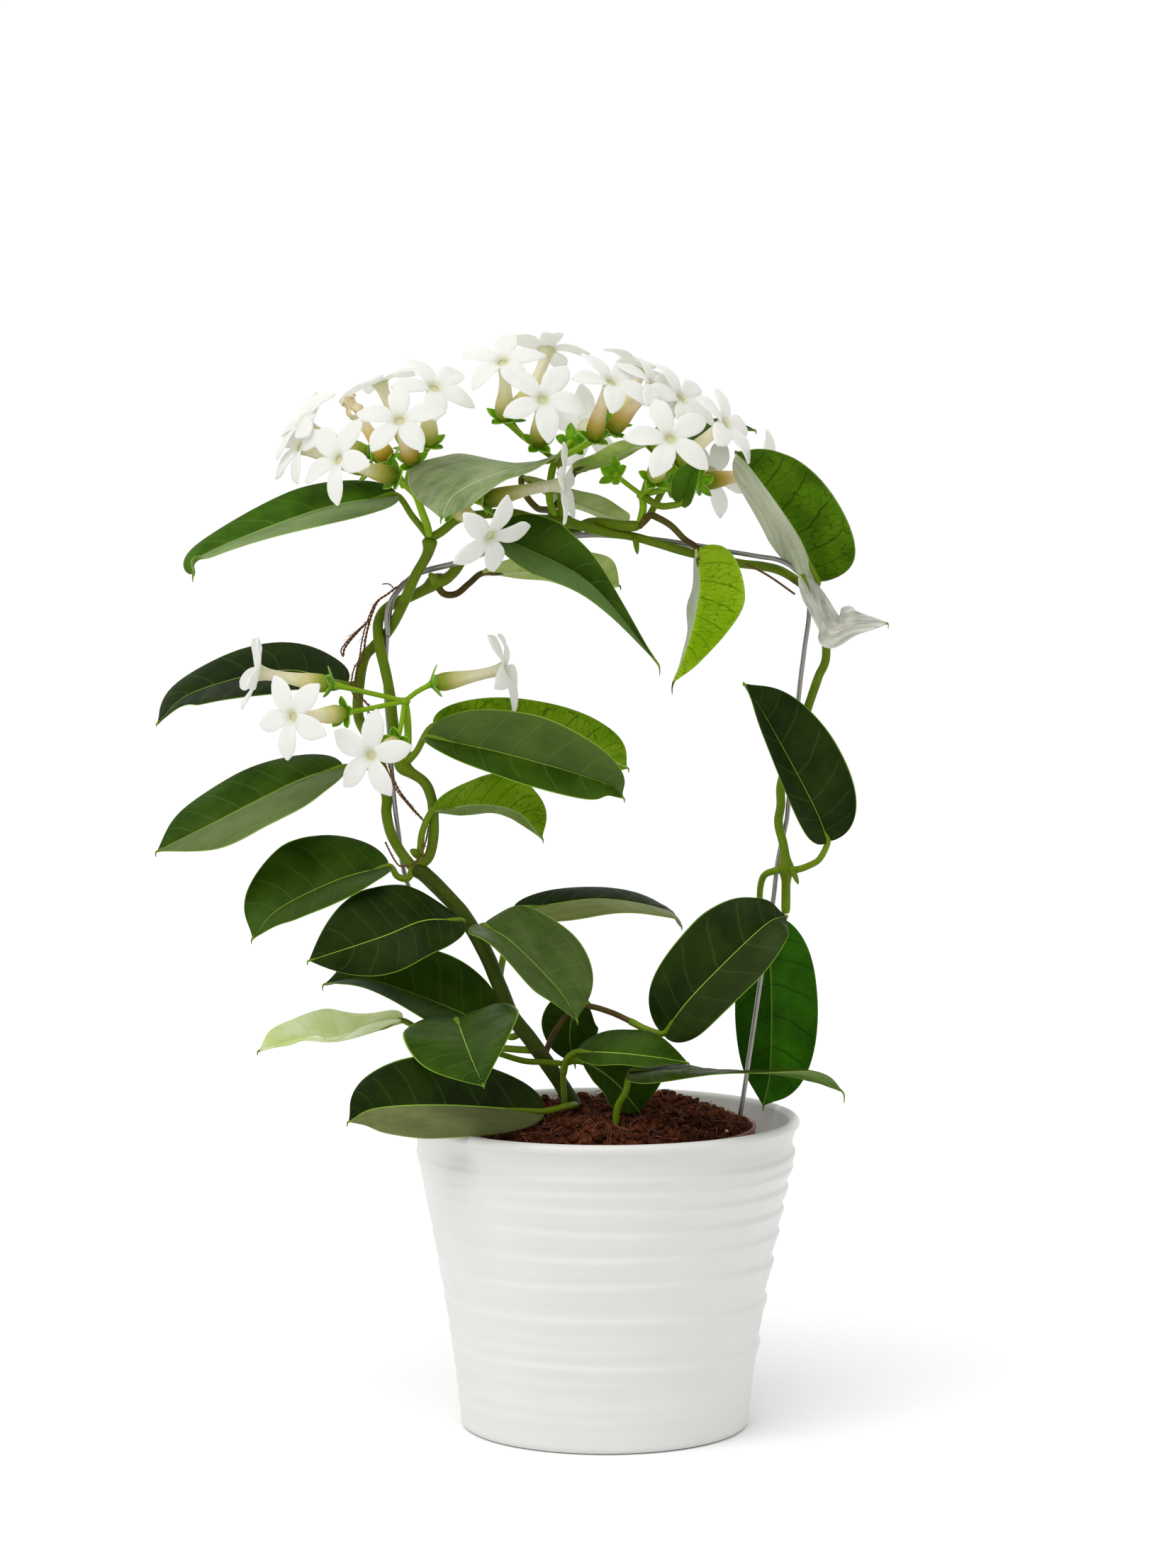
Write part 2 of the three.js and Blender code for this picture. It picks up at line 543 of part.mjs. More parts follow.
// ---------------------------------------------------------------- vine and hoop
const STEMS = {
  stem_base: {
    radius: OLD_STEM_RADIUS,
    points: [
      [-9.5, -6, 112], [-11.5, -6, 126], [-16.5, -8, 136], [-23, -9, 146], [-30, -9, 156],
      [-37, -8, 165], [-42, -7, 177], [-47, -6, 189], [-55, -5, 203], [-60, -4, 209],
      [-71, -3, 220], [-76, -3, 223],
    ],
    nodes: [[-76, -3, 223]],
  },
  stem_left: {
    radius: LEFT_STEM_RADIUS,
    points: [
      [-76, -3, 223], [-81, 1, 229], [-85, 4, 236], [-87, 8, 244], [-87, 10, 251],
      [-91, 13, 268], [-98, 14, 281], [-98, 14, 294], [-96, 14, 305], [-92, 13, 310],
      [-87, 12, 315], [-83, 8, 321], [-79, 2, 329], [-75, 0, 338], [-70, 0, 347],
      [-69, 0, 353],
    ],
    nodes: [[-69, 0, 353]],
  },
  stem_right: {
    radius: RIGHT_STEM_RADIUS,
    points: [
      [-76, -3, 223], [-70, -2, 227], [-68, 0, 235], [-68, 1, 244], [-69, 2, 251],
      [-72, 2, 257], [-80, 2, 263], [-83, 3, 272], [-84, 3, 281], [-85, 3, 291],
      [-87, 3.5, 301], [-89, 5, 309], [-90, 8, 315], [-90, 11, 320], [-88, 13, 324],
      [-84, 14, 327], [-77, 14, 330], [-71, 12, 333], [-67, 11, 336], [-63, 12, 337],
      [-59, 13, 341], [-56, 13, 346], [-52, 13, 349], [-43, 13, 354], [-32, 12, 355],
      [-21, 12, 356], [-11.5, 11, 357], [-6, 8, 359], [0, 4, 359], [7.5, 1, 358],
      [13.5, 0, 358],
    ],
    nodes: [[-80, 2, 263], [-67, 11, 335]],
  },
  stem_top: {
    radius: TOP_STEM_RADIUS,
    points: [
      [-69, 0, 353], [-64, -1, 356], [-59, -2, 360], [-53, -2, 362], [-37, 0, 363],
      [-28, 1, 361], [-17, 0, 360], [-6, 2, 357], [2.5, 3, 355], [10, 3, 354],
      [21, 3, 351], [31, 3, 348], [44, 4, 345], [54, 5, 343], [62, 10, 342],
      [70, 14, 340], [78, 15, 335], [84, 14, 330], [87, 13, 322], [88, 12, 306],
      [85, 12, 298], [82, 13, 289], [77, 14, 274], [72, 12, 261], [70, 9, 254],
      [70, 8, 247], [69, 6, 240], [71, 4, 231], [72, 4, 222], [72, 5, 214], [72, 6, 204],
    ],
    nodes: [[-17, 0, 360], [72, 4, 222]],
  },
};

// The hoop wire rises from the peat on the left, runs over the arch and goes back into the
// peat on the right. The second wire starts at the upper left and ends over the arch.
const WIRES = {
  hoop_wire: [
    [-50, 9, 100], [-51, 9, 122], [-62, 9, 160], [-73, 9, 198], [-80, 9, 220], [-82, 9, 234],
    [-84, 8, 251], [-86, 8, 279], [-87, 8, 292], [-87, 8, 305], [-86, 8, 318], [-84, 8, 329],
    [-77, 8, 337], [-71, 8, 340], [-55, 8, 344], [-43, 8, 349], [-26, 8, 352], [-9.5, 8, 354],
    [2, 8, 354], [21, 8, 352], [41, 8, 349], [60, 8, 346], [70, 8, 344], [78, 8, 338],
    [81, 8, 326], [79, 8, 308], [77, 8, 291], [73, 9, 247], [72, 9, 239], [69, 9, 225],
    [67, 9, 208], [62.5, 9, 179], [54.8, 9, 126], [52, 9, 112], [50.5, 9, 100],
  ],
  hoop_wire_second: [
    [-86, 5.7, 314], [-86.5, 5.7, 320], [-86, 5.7, 325], [-83.5, 5.7, 330.5], [-77, 5.7, 337.5],
    [-71, 5.7, 340.5], [-55, 5.7, 344.5], [-43, 5.7, 349.5], [-26, 5.7, 352.5],
    [-9.5, 5.7, 354.5], [2, 5.7, 354.5], [21, 5.7, 352.5], [41, 5.7, 349.5],
  ],
};

// Small shoots from the peat and the old stem, each with the young leaves that it carries.
const SHOOTS = {
  shoot_low: {
    routes: [
      [[-16, -16, 114], [-16, -16, 130], [-16.5, -16, 140], [-16.5, -17.5, 147]],
      [[-16.5, -17.5, 147], [-24, -17, 147.5], [-32, -17, 148], [-42, -17, 151], [-46, -17, 153]],
    ],
    leaves: [
      {
        petiole: [[-16.5, -17.5, 147], [-12, -16.5, 148]],
        rib: [[-8, -16, 147.2], [-2, -16, 143.8], [5, -17, 138.4], [9.5, -18, 133], [14, -19.5, 127.8]],
        halves: [8, 21], roll: -35, twist: 60, fold: 6, widest: 0.6, taper: 2.6,
      },
    ],
  },
  shoot_brown: {
    routes: [
      [[-24, -8, 149], [-20, 0, 157], [-13, 1, 166], [-6.5, -4, 168], [2.5, -8, 166],
        [10, -12, 163], [16, -16, 160.5]],
    ],
    leaves: [
      {
        petiole: [[-6.5, -4, 168], [-8, -1, 169.5]],
        rib: [[-10, 3, 169.5], [-13, 7, 162], [-14, 9, 153], [-12, 9, 143]],
        halves: [12, 12], roll: 10, twist: 0, fold: 15, widest: 0.42, taper: 2.1,
      },
    ],
  },
};

// ---------------------------------------------------------------- flowers
// peduncle: from the stem to the hub, where the pedicels part.
const UMBELS = {
  umbel_left: {
    peduncle: [[-69, 0, 353], [-70, -3, 358], [-72, -7, 364], [-74, -11, 370]],
    hub: [-78, -14, 374],
  },
  umbel_middle: {
    peduncle: [[-18, 0, 361], [-21, -2, 365], [-22, -2, 371], [-21, -2, 379]],
    hub: [-19.5, -2, 384],
  },
  umbel_right: {
    peduncle: [[13.5, 0, 358], [15, 0, 365]],
    hub: [14.5, 0, 370],
    emptyCalyx: { calyx: [4, -6, 378], facing: [-0.5, -0.75, 0.45] },
    bract: {
      petiole: [[14.5, 0, 370], [21, -6, 366], [26, -11, 366]],
      rib: [[30, -14, 367], [32, -17, 372], [34, -19, 378], [38, -20, 383]],
      halves: [7.5, 7.5], roll: -30, twist: 0, fold: 38, widest: 0.42, taper: 2.1,
    },
  },
  umbel_lower: {
    peduncle: [[-79, 2, 264], [-78, 0, 272], [-78, -2, 281]],
    hub: [-79, -3, 289],
  },
};

// calyx: foot of the tube. centre: middle of the throat. facing: the way the flower looks.
// phase: turn of the lobes in degrees. A bud has short lobes that stand up (spread).
const FLOWERS = {
  flower_left_far_high: {
    piece: 'flowers_left_far_pair', umbel: 'umbel_left', calyx: [-93, -2, 386], centre: [-119, -8, 399],
    facing: [-0.75, -0.3, 0.6], phase: 34,
  },
  flower_left_far_low: {
    piece: 'flowers_left_far_pair', umbel: 'umbel_left', calyx: [-92, -8, 380], centre: [-120, -14, 389],
    facing: [-0.8, -0.5, 0.35], phase: 66,
  },
  flower_left_front: {
    umbel: 'umbel_left', calyx: [-81, -24, 377], centre: [-103, -42, 384],
    facing: [-0.65, -0.7, 0.3], phase: 46,
  },
  flower_left_bud: {
    umbel: 'umbel_left', calyx: [-84, -14, 383], centre: [-97, -16, 402],
    facing: [-0.55, -0.1, 0.83], phase: 0, lobe: 5, spread: 7,
  },
  flower_left_centre: {
    umbel: 'umbel_left', calyx: [-75, -18, 383], centre: [-79, -44, 399],
    facing: [-0.06, -0.8, 0.6], phase: 1,
  },
  flower_left_top: {
    umbel: 'umbel_left', calyx: [-69, -4, 390], centre: [-66, -24, 412],
    facing: [0.3, -0.65, 0.7], phase: 18,
  },
  flower_left_back: {
    umbel: 'umbel_left', calyx: [-77, 4, 389], centre: [-89, 8, 415],
    facing: [-0.35, 0.05, 0.93], phase: 47,
  },
  flower_left_drooping: {
    umbel: 'umbel_left', calyx: [-59, -16, 366], centre: [-44, -37, 354],
    facing: [0.49, -0.7, -0.52], phase: 64,
  },
  flower_left_side: {
    umbel: 'umbel_left', calyx: [-48, -6, 367.5], centre: [-16, -17, 374],
    facing: [0.97, -0.2, 0.05], phase: 5,
  },
  flower_middle_left: {
    piece: 'flowers_middle_front_pair', umbel: 'umbel_middle', calyx: [-40, -4, 400], centre: [-40, -24, 422],
    facing: [-0.15, -0.65, 0.74], phase: 2,
  },
  flower_middle_top: {
    umbel: 'umbel_middle', calyx: [-38, 4, 400], centre: [-23, 10, 428],
    facing: [0.1, 0.4, 0.9], phase: 24,
  },
  flower_middle_front: {
    piece: 'flowers_middle_front_pair', umbel: 'umbel_middle', calyx: [-26, -10, 390], centre: [-24, -36, 407],
    facing: [0.15, -0.88, 0.45], phase: 42,
  },
  flower_middle_right: {
    umbel: 'umbel_middle', calyx: [-4.5, -10, 392], centre: [2.5, -30, 414],
    facing: [0.4, -0.57, 0.72], phase: 15,
  },
  flower_middle_far: {
    piece: 'flowers_top_right_pair', umbel: 'umbel_middle', calyx: [2, -4, 395], centre: [19, -16, 413],
    facing: [0.66, -0.36, 0.65], phase: 50,
  },
  flower_middle_high: {
    umbel: 'umbel_middle', calyx: [3.5, 6, 398], centre: [15, 16, 420],
    facing: [0.45, 0.2, 0.87], phase: 70,
  },
  flower_middle_back: {
    umbel: 'umbel_middle', calyx: [-13.5, 8, 391], centre: [-7, 34, 397],
    facing: [0.25, 0.94, 0.2], phase: 70,
  },
  flower_right_high: {
    piece: 'flowers_top_right_pair', umbel: 'umbel_right', calyx: [20, 0, 387], centre: [30, -14, 408],
    facing: [0.6, -0.55, 0.6], phase: 9,
  },
  flower_right_front: {
    umbel: 'umbel_right', calyx: [19, -12, 376], centre: [25, -38, 392],
    facing: [0.18, -0.86, 0.47], phase: 14, lobe: 18.5,
  },
  flower_right_far: {
    umbel: 'umbel_right', calyx: [29, -6, 382], centre: [47, -22, 398],
    facing: [0.75, -0.45, 0.48], phase: 49, lobe: 17.5,
  },
  flower_right_side: {
    umbel: 'umbel_right', calyx: [37, 0, 375], centre: [65, 20, 379],
    facing: [0.92, 0.37, 0.1], phase: 1,
  },
  flower_right_back: {
    umbel: 'umbel_right', calyx: [27, 6, 374], centre: [43, 30, 378],
    facing: [0.65, 0.72, 0.25], phase: 35,
  },
  flower_lower_far: {
    umbel: 'umbel_lower', calyx: [-107, -14, 296], centre: [-136, -16, 301],
    facing: [-0.95, -0.15, 0.2], phase: 40,
  },
  flower_lower_left: {
    umbel: 'umbel_lower', calyx: [-102, -18, 285], centre: [-121, -42, 285],
    facing: [-0.6, -0.8, 0.05], phase: 28, lobe: 17.5,
  },
  flower_lower_front: {
    umbel: 'umbel_lower', calyx: [-82, -12, 273], centre: [-91, -40, 270],
    facing: [-0.42, -0.9, -0.06], phase: 63,
  },
  flower_lower_right: {
    umbel: 'umbel_lower', calyx: [-68, -4, 296], centre: [-39, -4, 302],
    facing: [0.94, -0.2, 0.25], phase: 35,
  },
};

// Two unit vectors square to a direction: phase 0 points along the second, upwards.
function crossAxes(direction) {
  const across = direction.clone().cross(Z).normalize();
  const up = across.clone().cross(direction);
  return { across, up };
}

function ringPoint(centre, axes, radius, degrees) {
  const angle = THREE.MathUtils.degToRad(degrees);
  return centre.clone()
    .addScaledVector(axes.across, radius * Math.sin(angle))
    .addScaledVector(axes.up, radius * Math.cos(angle));
}

function tubeCurve(flower) {
  const centre = vec(flower.centre);
  const facing = vec(flower.facing).normalize();
  const axis = centre.clone().sub(vec(flower.calyx));
  const length = axis.length();
  const foot = vec(flower.calyx).addScaledVector(axis.normalize(), TUBE_FOOT);
  const control = centre.clone().addScaledVector(facing, -0.4 * length);
  return new THREE.QuadraticBezierCurve3(foot, control, centre);
}

// A corolla as one closed skin: foot, swollen tube, throat and five lobes.
function corolla(flower) {
  const facing = vec(flower.facing).normalize();
  const curve = tubeCurve(flower);
  const vertices = [];
  const triangles = [];
  const add = (point) => vertices.push(point) - 1;
  const step = 360 / LOBES;
  const rings = TUBE_SHARES.map((share, ring) => {
    const tangent = ring === 0 ? curve.getTangent(0.01) : curve.getTangent(share);
    const axes = crossAxes(tangent);
    const centre = curve.getPoint(share);
    return Array.from({ length: LOBES }, (_, k) => (
      add(ringPoint(centre, axes, TUBE_RADII[ring], flower.phase + step * k))));
  });
  const axes = crossAxes(facing);
  const centre = vec(flower.centre);
  const level = (height) => centre.clone().addScaledVector(facing, height);
  const throatRing = (radius, height) => Array.from({ length: 2 * LOBES }, (_, k) => (
    add(ringPoint(level(height), axes, radius, flower.phase + (step * k) / 2))));
  const outer = throatRing(THROAT_RADIUS + 0.6, -LOBE_THICKNESS - 0.4);
  const inner = throatRing(THROAT_RADIUS, 0);
  const funnel = add(curve.getPoint(1 - THROAT_DEPTH / curve.getLength()));
  const foot = rings[0];
  for (let k = 1; k + 1 < LOBES; k += 1) triangles.push([foot[0], foot[k + 1], foot[k]]);
  for (let ring = 0; ring + 1 < rings.length; ring += 1) {
    for (let k = 0; k < LOBES; k += 1) {
      const next = (k + 1) % LOBES;
      const [a, b] = [rings[ring], rings[ring + 1]];
      triangles.push([a[k], a[next], b[next]], [a[k], b[next], b[k]]);
    }
  }
  const neck = rings.at(-1);
  const lobe = flower.lobe ?? LOBE_LENGTH;
  const spread = flower.spread ?? 0;
  // Rows of a lobe: share of its reach, half width, height over the throat and points across.
  const rows = [
    [0.5, LOBE_HALF_WIDTH * 0.98, 0.5 + spread * 0.6, [-1, 0, 1]],
    [0.8, LOBE_HALF_WIDTH * 0.72, 0.8 + spread * 0.9, [-1, 1]],
  ];
  for (let k = 0; k < LOBES; k += 1) {
    const next = (k + 1) % LOBES;
    const [mid, right, left] = [2 * k, 2 * k + 1, (2 * k + 2 * LOBES - 1) % (2 * LOBES)];
    triangles.push([neck[k], outer[right], outer[mid]]);
    triangles.push([neck[k], neck[next], outer[right]]);
    triangles.push([neck[next], outer[(right + 1) % (2 * LOBES)], outer[right]]);
    triangles.push([inner[mid], inner[right], funnel], [inner[left], inner[mid], funnel]);
    const angle = flower.phase + step * k;
    const outward = ringPoint(new THREE.Vector3(), axes, 1, angle);
    const sideways = ringPoint(new THREE.Vector3(), axes, 1, angle + 90);
    const row = ([share, halfWidth, height, sides], drop) => sides.map((side) => add(
      level(height - drop + (side === 0 ? 0.5 : 0))
        .addScaledVector(outward, lobe * share)
        .addScaledVector(sideways, side * halfWidth * Math.min(1, lobe / LOBE_LENGTH)),
    ));
    const point = (drop) => add(level(0.2 + spread - drop).addScaledVector(outward, lobe));
    const top = [[inner[left], inner[mid], inner[right]], row(rows[0], 0), row(rows[1], 0)];
    const under = [
      [outer[left], outer[mid], outer[right]],
      row(rows[0], LOBE_THICKNESS), row(rows[1], LOBE_THICKNESS),
    ];
    const [topTip, underTip] = [point(0), point(LOBE_THICKNESS * 0.8)];
    for (let j = 0; j < 2; j += 1) {
      triangles.push([top[0][j], top[1][j], top[1][j + 1]]);
      triangles.push([top[0][j], top[1][j + 1], top[0][j + 1]]);
      triangles.push([under[0][j], under[1][j + 1], under[1][j]]);
      triangles.push([under[0][j], under[0][j + 1], under[1][j + 1]]);
    }
    const [[a, b, c], [d, e]] = top.slice(1);
    const [[f, g, h], [m, n]] = under.slice(1);
    triangles.push([a, d, b], [d, e, b], [b, e, c], [d, topTip, e]);
    triangles.push([f, g, m], [m, g, n], [g, h, n], [m, n, underTip]);
    const rim = [[inner[right], outer[right]], [c, h], [e, n], [topTip, underTip]];
    const edge = [[inner[left], outer[left]], [a, f], [d, m], [topTip, underTip]];
    for (let r = 0; r + 1 < rim.length; r += 1) {
      triangles.push([rim[r][0], rim[r + 1][0], rim[r + 1][1]]);
      triangles.push([rim[r][0], rim[r + 1][1], rim[r][1]]);
      triangles.push([edge[r][0], edge[r + 1][1], edge[r + 1][0]]);
      triangles.push([edge[r][0], edge[r][1], edge[r + 1][1]]);
    }
  }
  return toSolid(geometryFrom(vertices, triangles));
}

// A pedicel that ends in its calyx of five pointed sepals, as one closed skin.
function pedicelWithCalyx(hub, point, axis) {
  const path = curveOf(pedicelRoute(hub, point, axis));
  const axes = crossAxes(axis);
  const vertices = [];
  const add = (vertex) => vertices.push(vertex) - 1;
  const level = (height) => point.clone().addScaledVector(axis, height);
  const stations = [
    [path.getPoint(0), path.getTangent(0)],
    [path.getPoint(0.5), path.getTangent(0.5)],
    [level(-CALYX_DEPTH), axis],
  ];
  const rings = stations.map(([centre, tangent]) => {
    const across = axes.across.clone().addScaledVector(tangent, -axes.across.dot(tangent)).normalize();
    const turned = { across, up: across.clone().cross(tangent) };
    return Array.from({ length: LOBES }, (_, k) => (
      add(ringPoint(centre, turned, PEDICEL_RADIUS, (360 * k) / LOBES))));
  });
  const triangles = [];
  const root = rings[0];
  for (let k = 1; k + 1 < LOBES; k += 1) triangles.push([root[0], root[k + 1], root[k]]);
  for (let ring = 0; ring + 1 < rings.length; ring += 1) {
    for (let k = 0; k < LOBES; k += 1) {
      const next = (k + 1) % LOBES;
      const [a, b] = [rings[ring], rings[ring + 1]];
      triangles.push([a[k], a[next], b[next]], [a[k], b[next], b[k]]);
    }
  }
  const neck = rings.at(-1);
  const middle = add(level(0.3));
  const tips = Array.from({ length: LOBES }, (_, k) => (
    add(ringPoint(level(SEPAL_RISE), axes, SEPAL_REACH, (360 * k) / LOBES))));
  const notches = Array.from({ length: LOBES }, (_, k) => (
    add(ringPoint(level(0), axes, SEPAL_NOTCH, (360 * (k + 0.5)) / LOBES))));
  for (let k = 0; k < LOBES; k += 1) {
    const next = (k + 1) % LOBES;
    triangles.push([neck[k], notches[k], tips[k]], [neck[k], neck[next], notches[k]]);
    triangles.push([neck[next], tips[next], notches[k]]);
    triangles.push([middle, tips[k], notches[k]], [middle, notches[k], tips[next]]);
  }
  return toSolid(geometryFrom(vertices, triangles));
}

// The ends of a flower head's pedicels, each with the way its flower leaves it.
function pedicelEnds(name) {
  const own = Object.values(FLOWERS).filter((flower) => flower.umbel === name);
  const ends = own.map(({ calyx, centre }) => ({
    point: vec(calyx),
    axis: vec(centre).sub(vec(calyx)).normalize(),
  }));
  const { emptyCalyx } = UMBELS[name];
  if (emptyCalyx) {
    ends.push({ point: vec(emptyCalyx.calyx), axis: vec(emptyCalyx.facing).normalize() });
  }
  return ends;
}

function pedicelRoute(hub, point, axis) {
  const middle = vec(hub).lerp(point, 0.6).addScaledVector(axis, -1.5);
  return [hub, middle.toArray(), point.toArray()];
}

function peduncleBar(name, extra = 0) {
  const { peduncle, hub } = UMBELS[name];
  const bar = tube([...peduncle, hub], PEDUNCLE_RADIUS + extra, PETIOLE_SIDES, 1);
  return bar.add(ball(hub, PEDUNCLE_RADIUS + 0.5 + extra));
}

function umbelRoom(name) {
  const { hub } = UMBELS[name];
  const pedicels = pedicelEnds(name).map(({ point, axis }) => (
    tube(pedicelRoute(hub, point, axis), PEDICEL_RADIUS + 2 * GAP, LOBES, 1)));
  return joined([peduncleBar(name, GAP), ...pedicels]);
}

function umbelSolid(name) {
  const { hub, bract } = UMBELS[name];
  const pedicels = pedicelEnds(name).map(({ point, axis }) => pedicelWithCalyx(hub, point, axis));
  const pieces = [peduncleBar(name), ...pedicels];
  if (bract) pieces.push(leafSolid(bract));
  return joined(pieces);
}

// ---------------------------------------------------------------- twine
const TWINE = [
  [
    [-82, 4.5, 334], [-86, 3.5, 331], [-90, 4.5, 328], [-93, 6, 321], [-95, 7, 313],
    [-96, 8.5, 306], [-98, 9, 302], [-99, 9, 295], [-97, 9, 290], [-92, 6, 285],
    [-89, 3, 280], [-87, 1, 269], [-83, 1, 256], [-77, 3, 247], [-72, 5, 241],
  ],
  [[-93, 6, 321], [-98, 6, 316], [-103, 8, 310], [-104, 8, 306]],
];

// ---------------------------------------------------------------- assembly
const group = new THREE.Group();

function place(name, solid, makeMaterial) {
  const mesh = new THREE.Mesh(toGeometry(solid), makeMaterial());
  mesh.name = name;
  group.add(mesh);
}

function stemSolid(name, extra = 0) {
  const { radius, points, nodes } = STEMS[name];
  const bar = tube(points, radius + extra, STEM_SIDES, STEM_STEPS);
  const swellings = nodes.map((node) => ball(node, NODE_RADIUS + extra));
  return joined([bar, ...swellings]);
}

function shootBars(name, extra = 0) {
  const { routes } = SHOOTS[name];
  return joined(routes.map((route) => tube(route, SHOOT_RADIUS + extra, PETIOLE_SIDES, 1)));
}

function roomsOf(table, makeRoom) {
  return Object.keys(table).map(makeRoom);
}

// Rooms: the bars with the gap added. What crosses a bar is trimmed to its room.
const stemRooms = roomsOf(STEMS, (name) => stemSolid(name, GAP));
const wireRooms = roomsOf(WIRES, (name) => tube(WIRES[name], WIRE_RADIUS + GAP, WIRE_SIDES, 1));
const shootRooms = roomsOf(SHOOTS, (name) => shootBars(name, GAP));
const umbelRooms = roomsOf(UMBELS, umbelRoom);

function clearOf(rooms, solid) {
  return mainBody(rooms.reduce((rest, room) => rest.subtract(room), solid));
}

// The entries of a table by the piece that they belong to: their own, or one they share.
function byPiece(table) {
  const pieces = {};
  Object.entries(table).forEach(([name, entry]) => {
    const piece = entry.piece ?? name;
    pieces[piece] = [...(pieces[piece] ?? []), entry];
  });
  return pieces;
}

place('cachepot', cachepot(), glazedClay);
place('nursery_pot', nurseryPot(), brownPlastic);

Object.keys(STEMS).forEach((name, i) => {
  const rooms = [...wireRooms, ...stemRooms.slice(0, i)];
  place(name, clearOf(rooms, stemSolid(name)), i === 0 ? oldStem : greenStem);
});

Object.entries(WIRES).forEach(([name, points]) => {
  place(name, tube(points, WIRE_RADIUS, WIRE_SIDES, 1), steel);
});

const leafPieces = byPiece(LEAVES);
Object.entries(SHOOTS).forEach(([name, shoot]) => {
  const leaves = [...shoot.leaves, ...leafPieces[name]].map(leafSolid);
  place(name, clearOf([...stemRooms, ...wireRooms], joined([shootBars(name), ...leaves])), greenStem);
});

Object.keys(UMBELS).forEach((name) => {
  place(name, clearOf([...stemRooms, ...wireRooms], umbelSolid(name)), calyxGreen);
});

const leafRooms = [...stemRooms, ...wireRooms, ...shootRooms, ...umbelRooms];
Object.entries(leafPieces).filter(([name]) => !(name in SHOOTS)).forEach(([name, leaves]) => {
  const makeMaterial = leaves.some((leaf) => leaf.pale) ? paleLeaf : leafGreen;
  place(name, clearOf(leafRooms, joined(leaves.map(leafSolid))), makeMaterial);
});

Object.entries(byPiece(FLOWERS)).forEach(([name, flowers]) => {
  place(name, joined(flowers.map(corolla)), petal);
});

place('twine', joined(TWINE.map((route) => tube(route, TWINE_RADIUS, TWINE_SIDES, 1))), twineBrown);

const rootedPetiole = tube(LEAVES.leaf_low_right_flat.petiole, PETIOLE_RADIUS + GAP, PETIOLE_SIDES, 1);
const holes = [...stemRooms, ...wireRooms, ...shootRooms, rootedPetiole];
place('soil', clearOf(holes, soil()), peat);

export default group;
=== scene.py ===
"""Looks of the potted Madagascar jasmine: every piece is rebuilt finely over its CAD solid.

Sizes and routes are in millimetres, in the CAD frame (+Z up, the hoop in the XZ plane, seen
from -Y). They become metres where a mesh is made.
"""
import math
import random
from collections import namedtuple

import bpy
import numpy as np
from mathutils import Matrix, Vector, noise


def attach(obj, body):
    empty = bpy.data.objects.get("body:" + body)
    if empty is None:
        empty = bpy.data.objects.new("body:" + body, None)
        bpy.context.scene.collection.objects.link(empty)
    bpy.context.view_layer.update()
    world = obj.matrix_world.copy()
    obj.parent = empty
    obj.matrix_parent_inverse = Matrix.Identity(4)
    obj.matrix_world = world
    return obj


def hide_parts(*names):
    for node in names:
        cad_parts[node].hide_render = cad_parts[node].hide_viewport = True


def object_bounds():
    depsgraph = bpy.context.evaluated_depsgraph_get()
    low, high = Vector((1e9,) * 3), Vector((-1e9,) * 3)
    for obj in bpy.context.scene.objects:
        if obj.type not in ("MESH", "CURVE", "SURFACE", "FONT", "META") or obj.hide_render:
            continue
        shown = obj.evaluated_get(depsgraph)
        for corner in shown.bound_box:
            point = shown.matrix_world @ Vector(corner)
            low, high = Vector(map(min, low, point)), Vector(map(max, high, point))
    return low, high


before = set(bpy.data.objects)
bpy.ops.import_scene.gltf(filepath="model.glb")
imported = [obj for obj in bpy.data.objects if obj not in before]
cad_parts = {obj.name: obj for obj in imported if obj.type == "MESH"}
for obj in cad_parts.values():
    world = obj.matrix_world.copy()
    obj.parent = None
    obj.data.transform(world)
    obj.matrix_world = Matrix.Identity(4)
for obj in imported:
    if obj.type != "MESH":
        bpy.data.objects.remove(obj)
cad_low, cad_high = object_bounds()

MM = 0.001
AWAY = np.array([0.0, 1.0, 0.0])  # the way the camera looks
UP = np.array([0.0, 0.0, 1.0])

# ------------------------------------------------------------ driving sizes, in millimetres
CAMERA_PLACE = (-6.74, -1600, 369.8)
CAMERA_TILT = 0.071  # radians below level
CAMERA_LENS = 93.04
CAMERA_SENSOR = 36

POT_HEIGHT = 123.9
POT_FOOT_RADIUS = 57.3
POT_SHOULDER_RADIUS = 75.6
POT_SHOULDER_HEIGHT = 116
POT_FLARE_POWER = 1.3
POT_WALL = 4.4
POT_FLOOR = 6
POT_CORNER = 5  # radius of the round corner between the floor and the wall, inside
LIP_RADIUS = 75.3
LIP_HALF_THICKNESS = 2.2
RIDGES = [110, 103, 96, 88, 78, 66, 52, 34]  # heights of the throwing ridges
RIDGE_RISE = 1.1
RIDGE_UNEVEN = 0.45  # how much higher a ridge stands on one side of the pot than on average
FAINT_RIDGES = [106, 92, 83, 72, 60, 45, 40, 26, 18, 12]
FAINT_RISE = 0.3
RIDGE_ABOVE = 1.3  # how far a ridge reaches above its crest, and below it
RIDGE_BELOW = 4.2
FAINT_REACH = 2.2
RIDGES_START = (2, 8)  # heights over which the ridges set in above the foot
RIDGES_END = (114, 118)  # and over which they end under the lip
LIP_HOLLOW = (115.5, 0.7, 2.4)  # height, depth and reach of the hollow under the lip
POT_SIDES = 180

LINER_RIM_RADIUS = 60
LINER_TOP_RADIUS = 57
LINER_FOOT_RADIUS = 43
LINER_WALL = 1.2
LINER_RIM_BAND = 11
LINER_BOTTOM = 6.3
LINER_TOP = 120.5
LINER_SIDES = 120

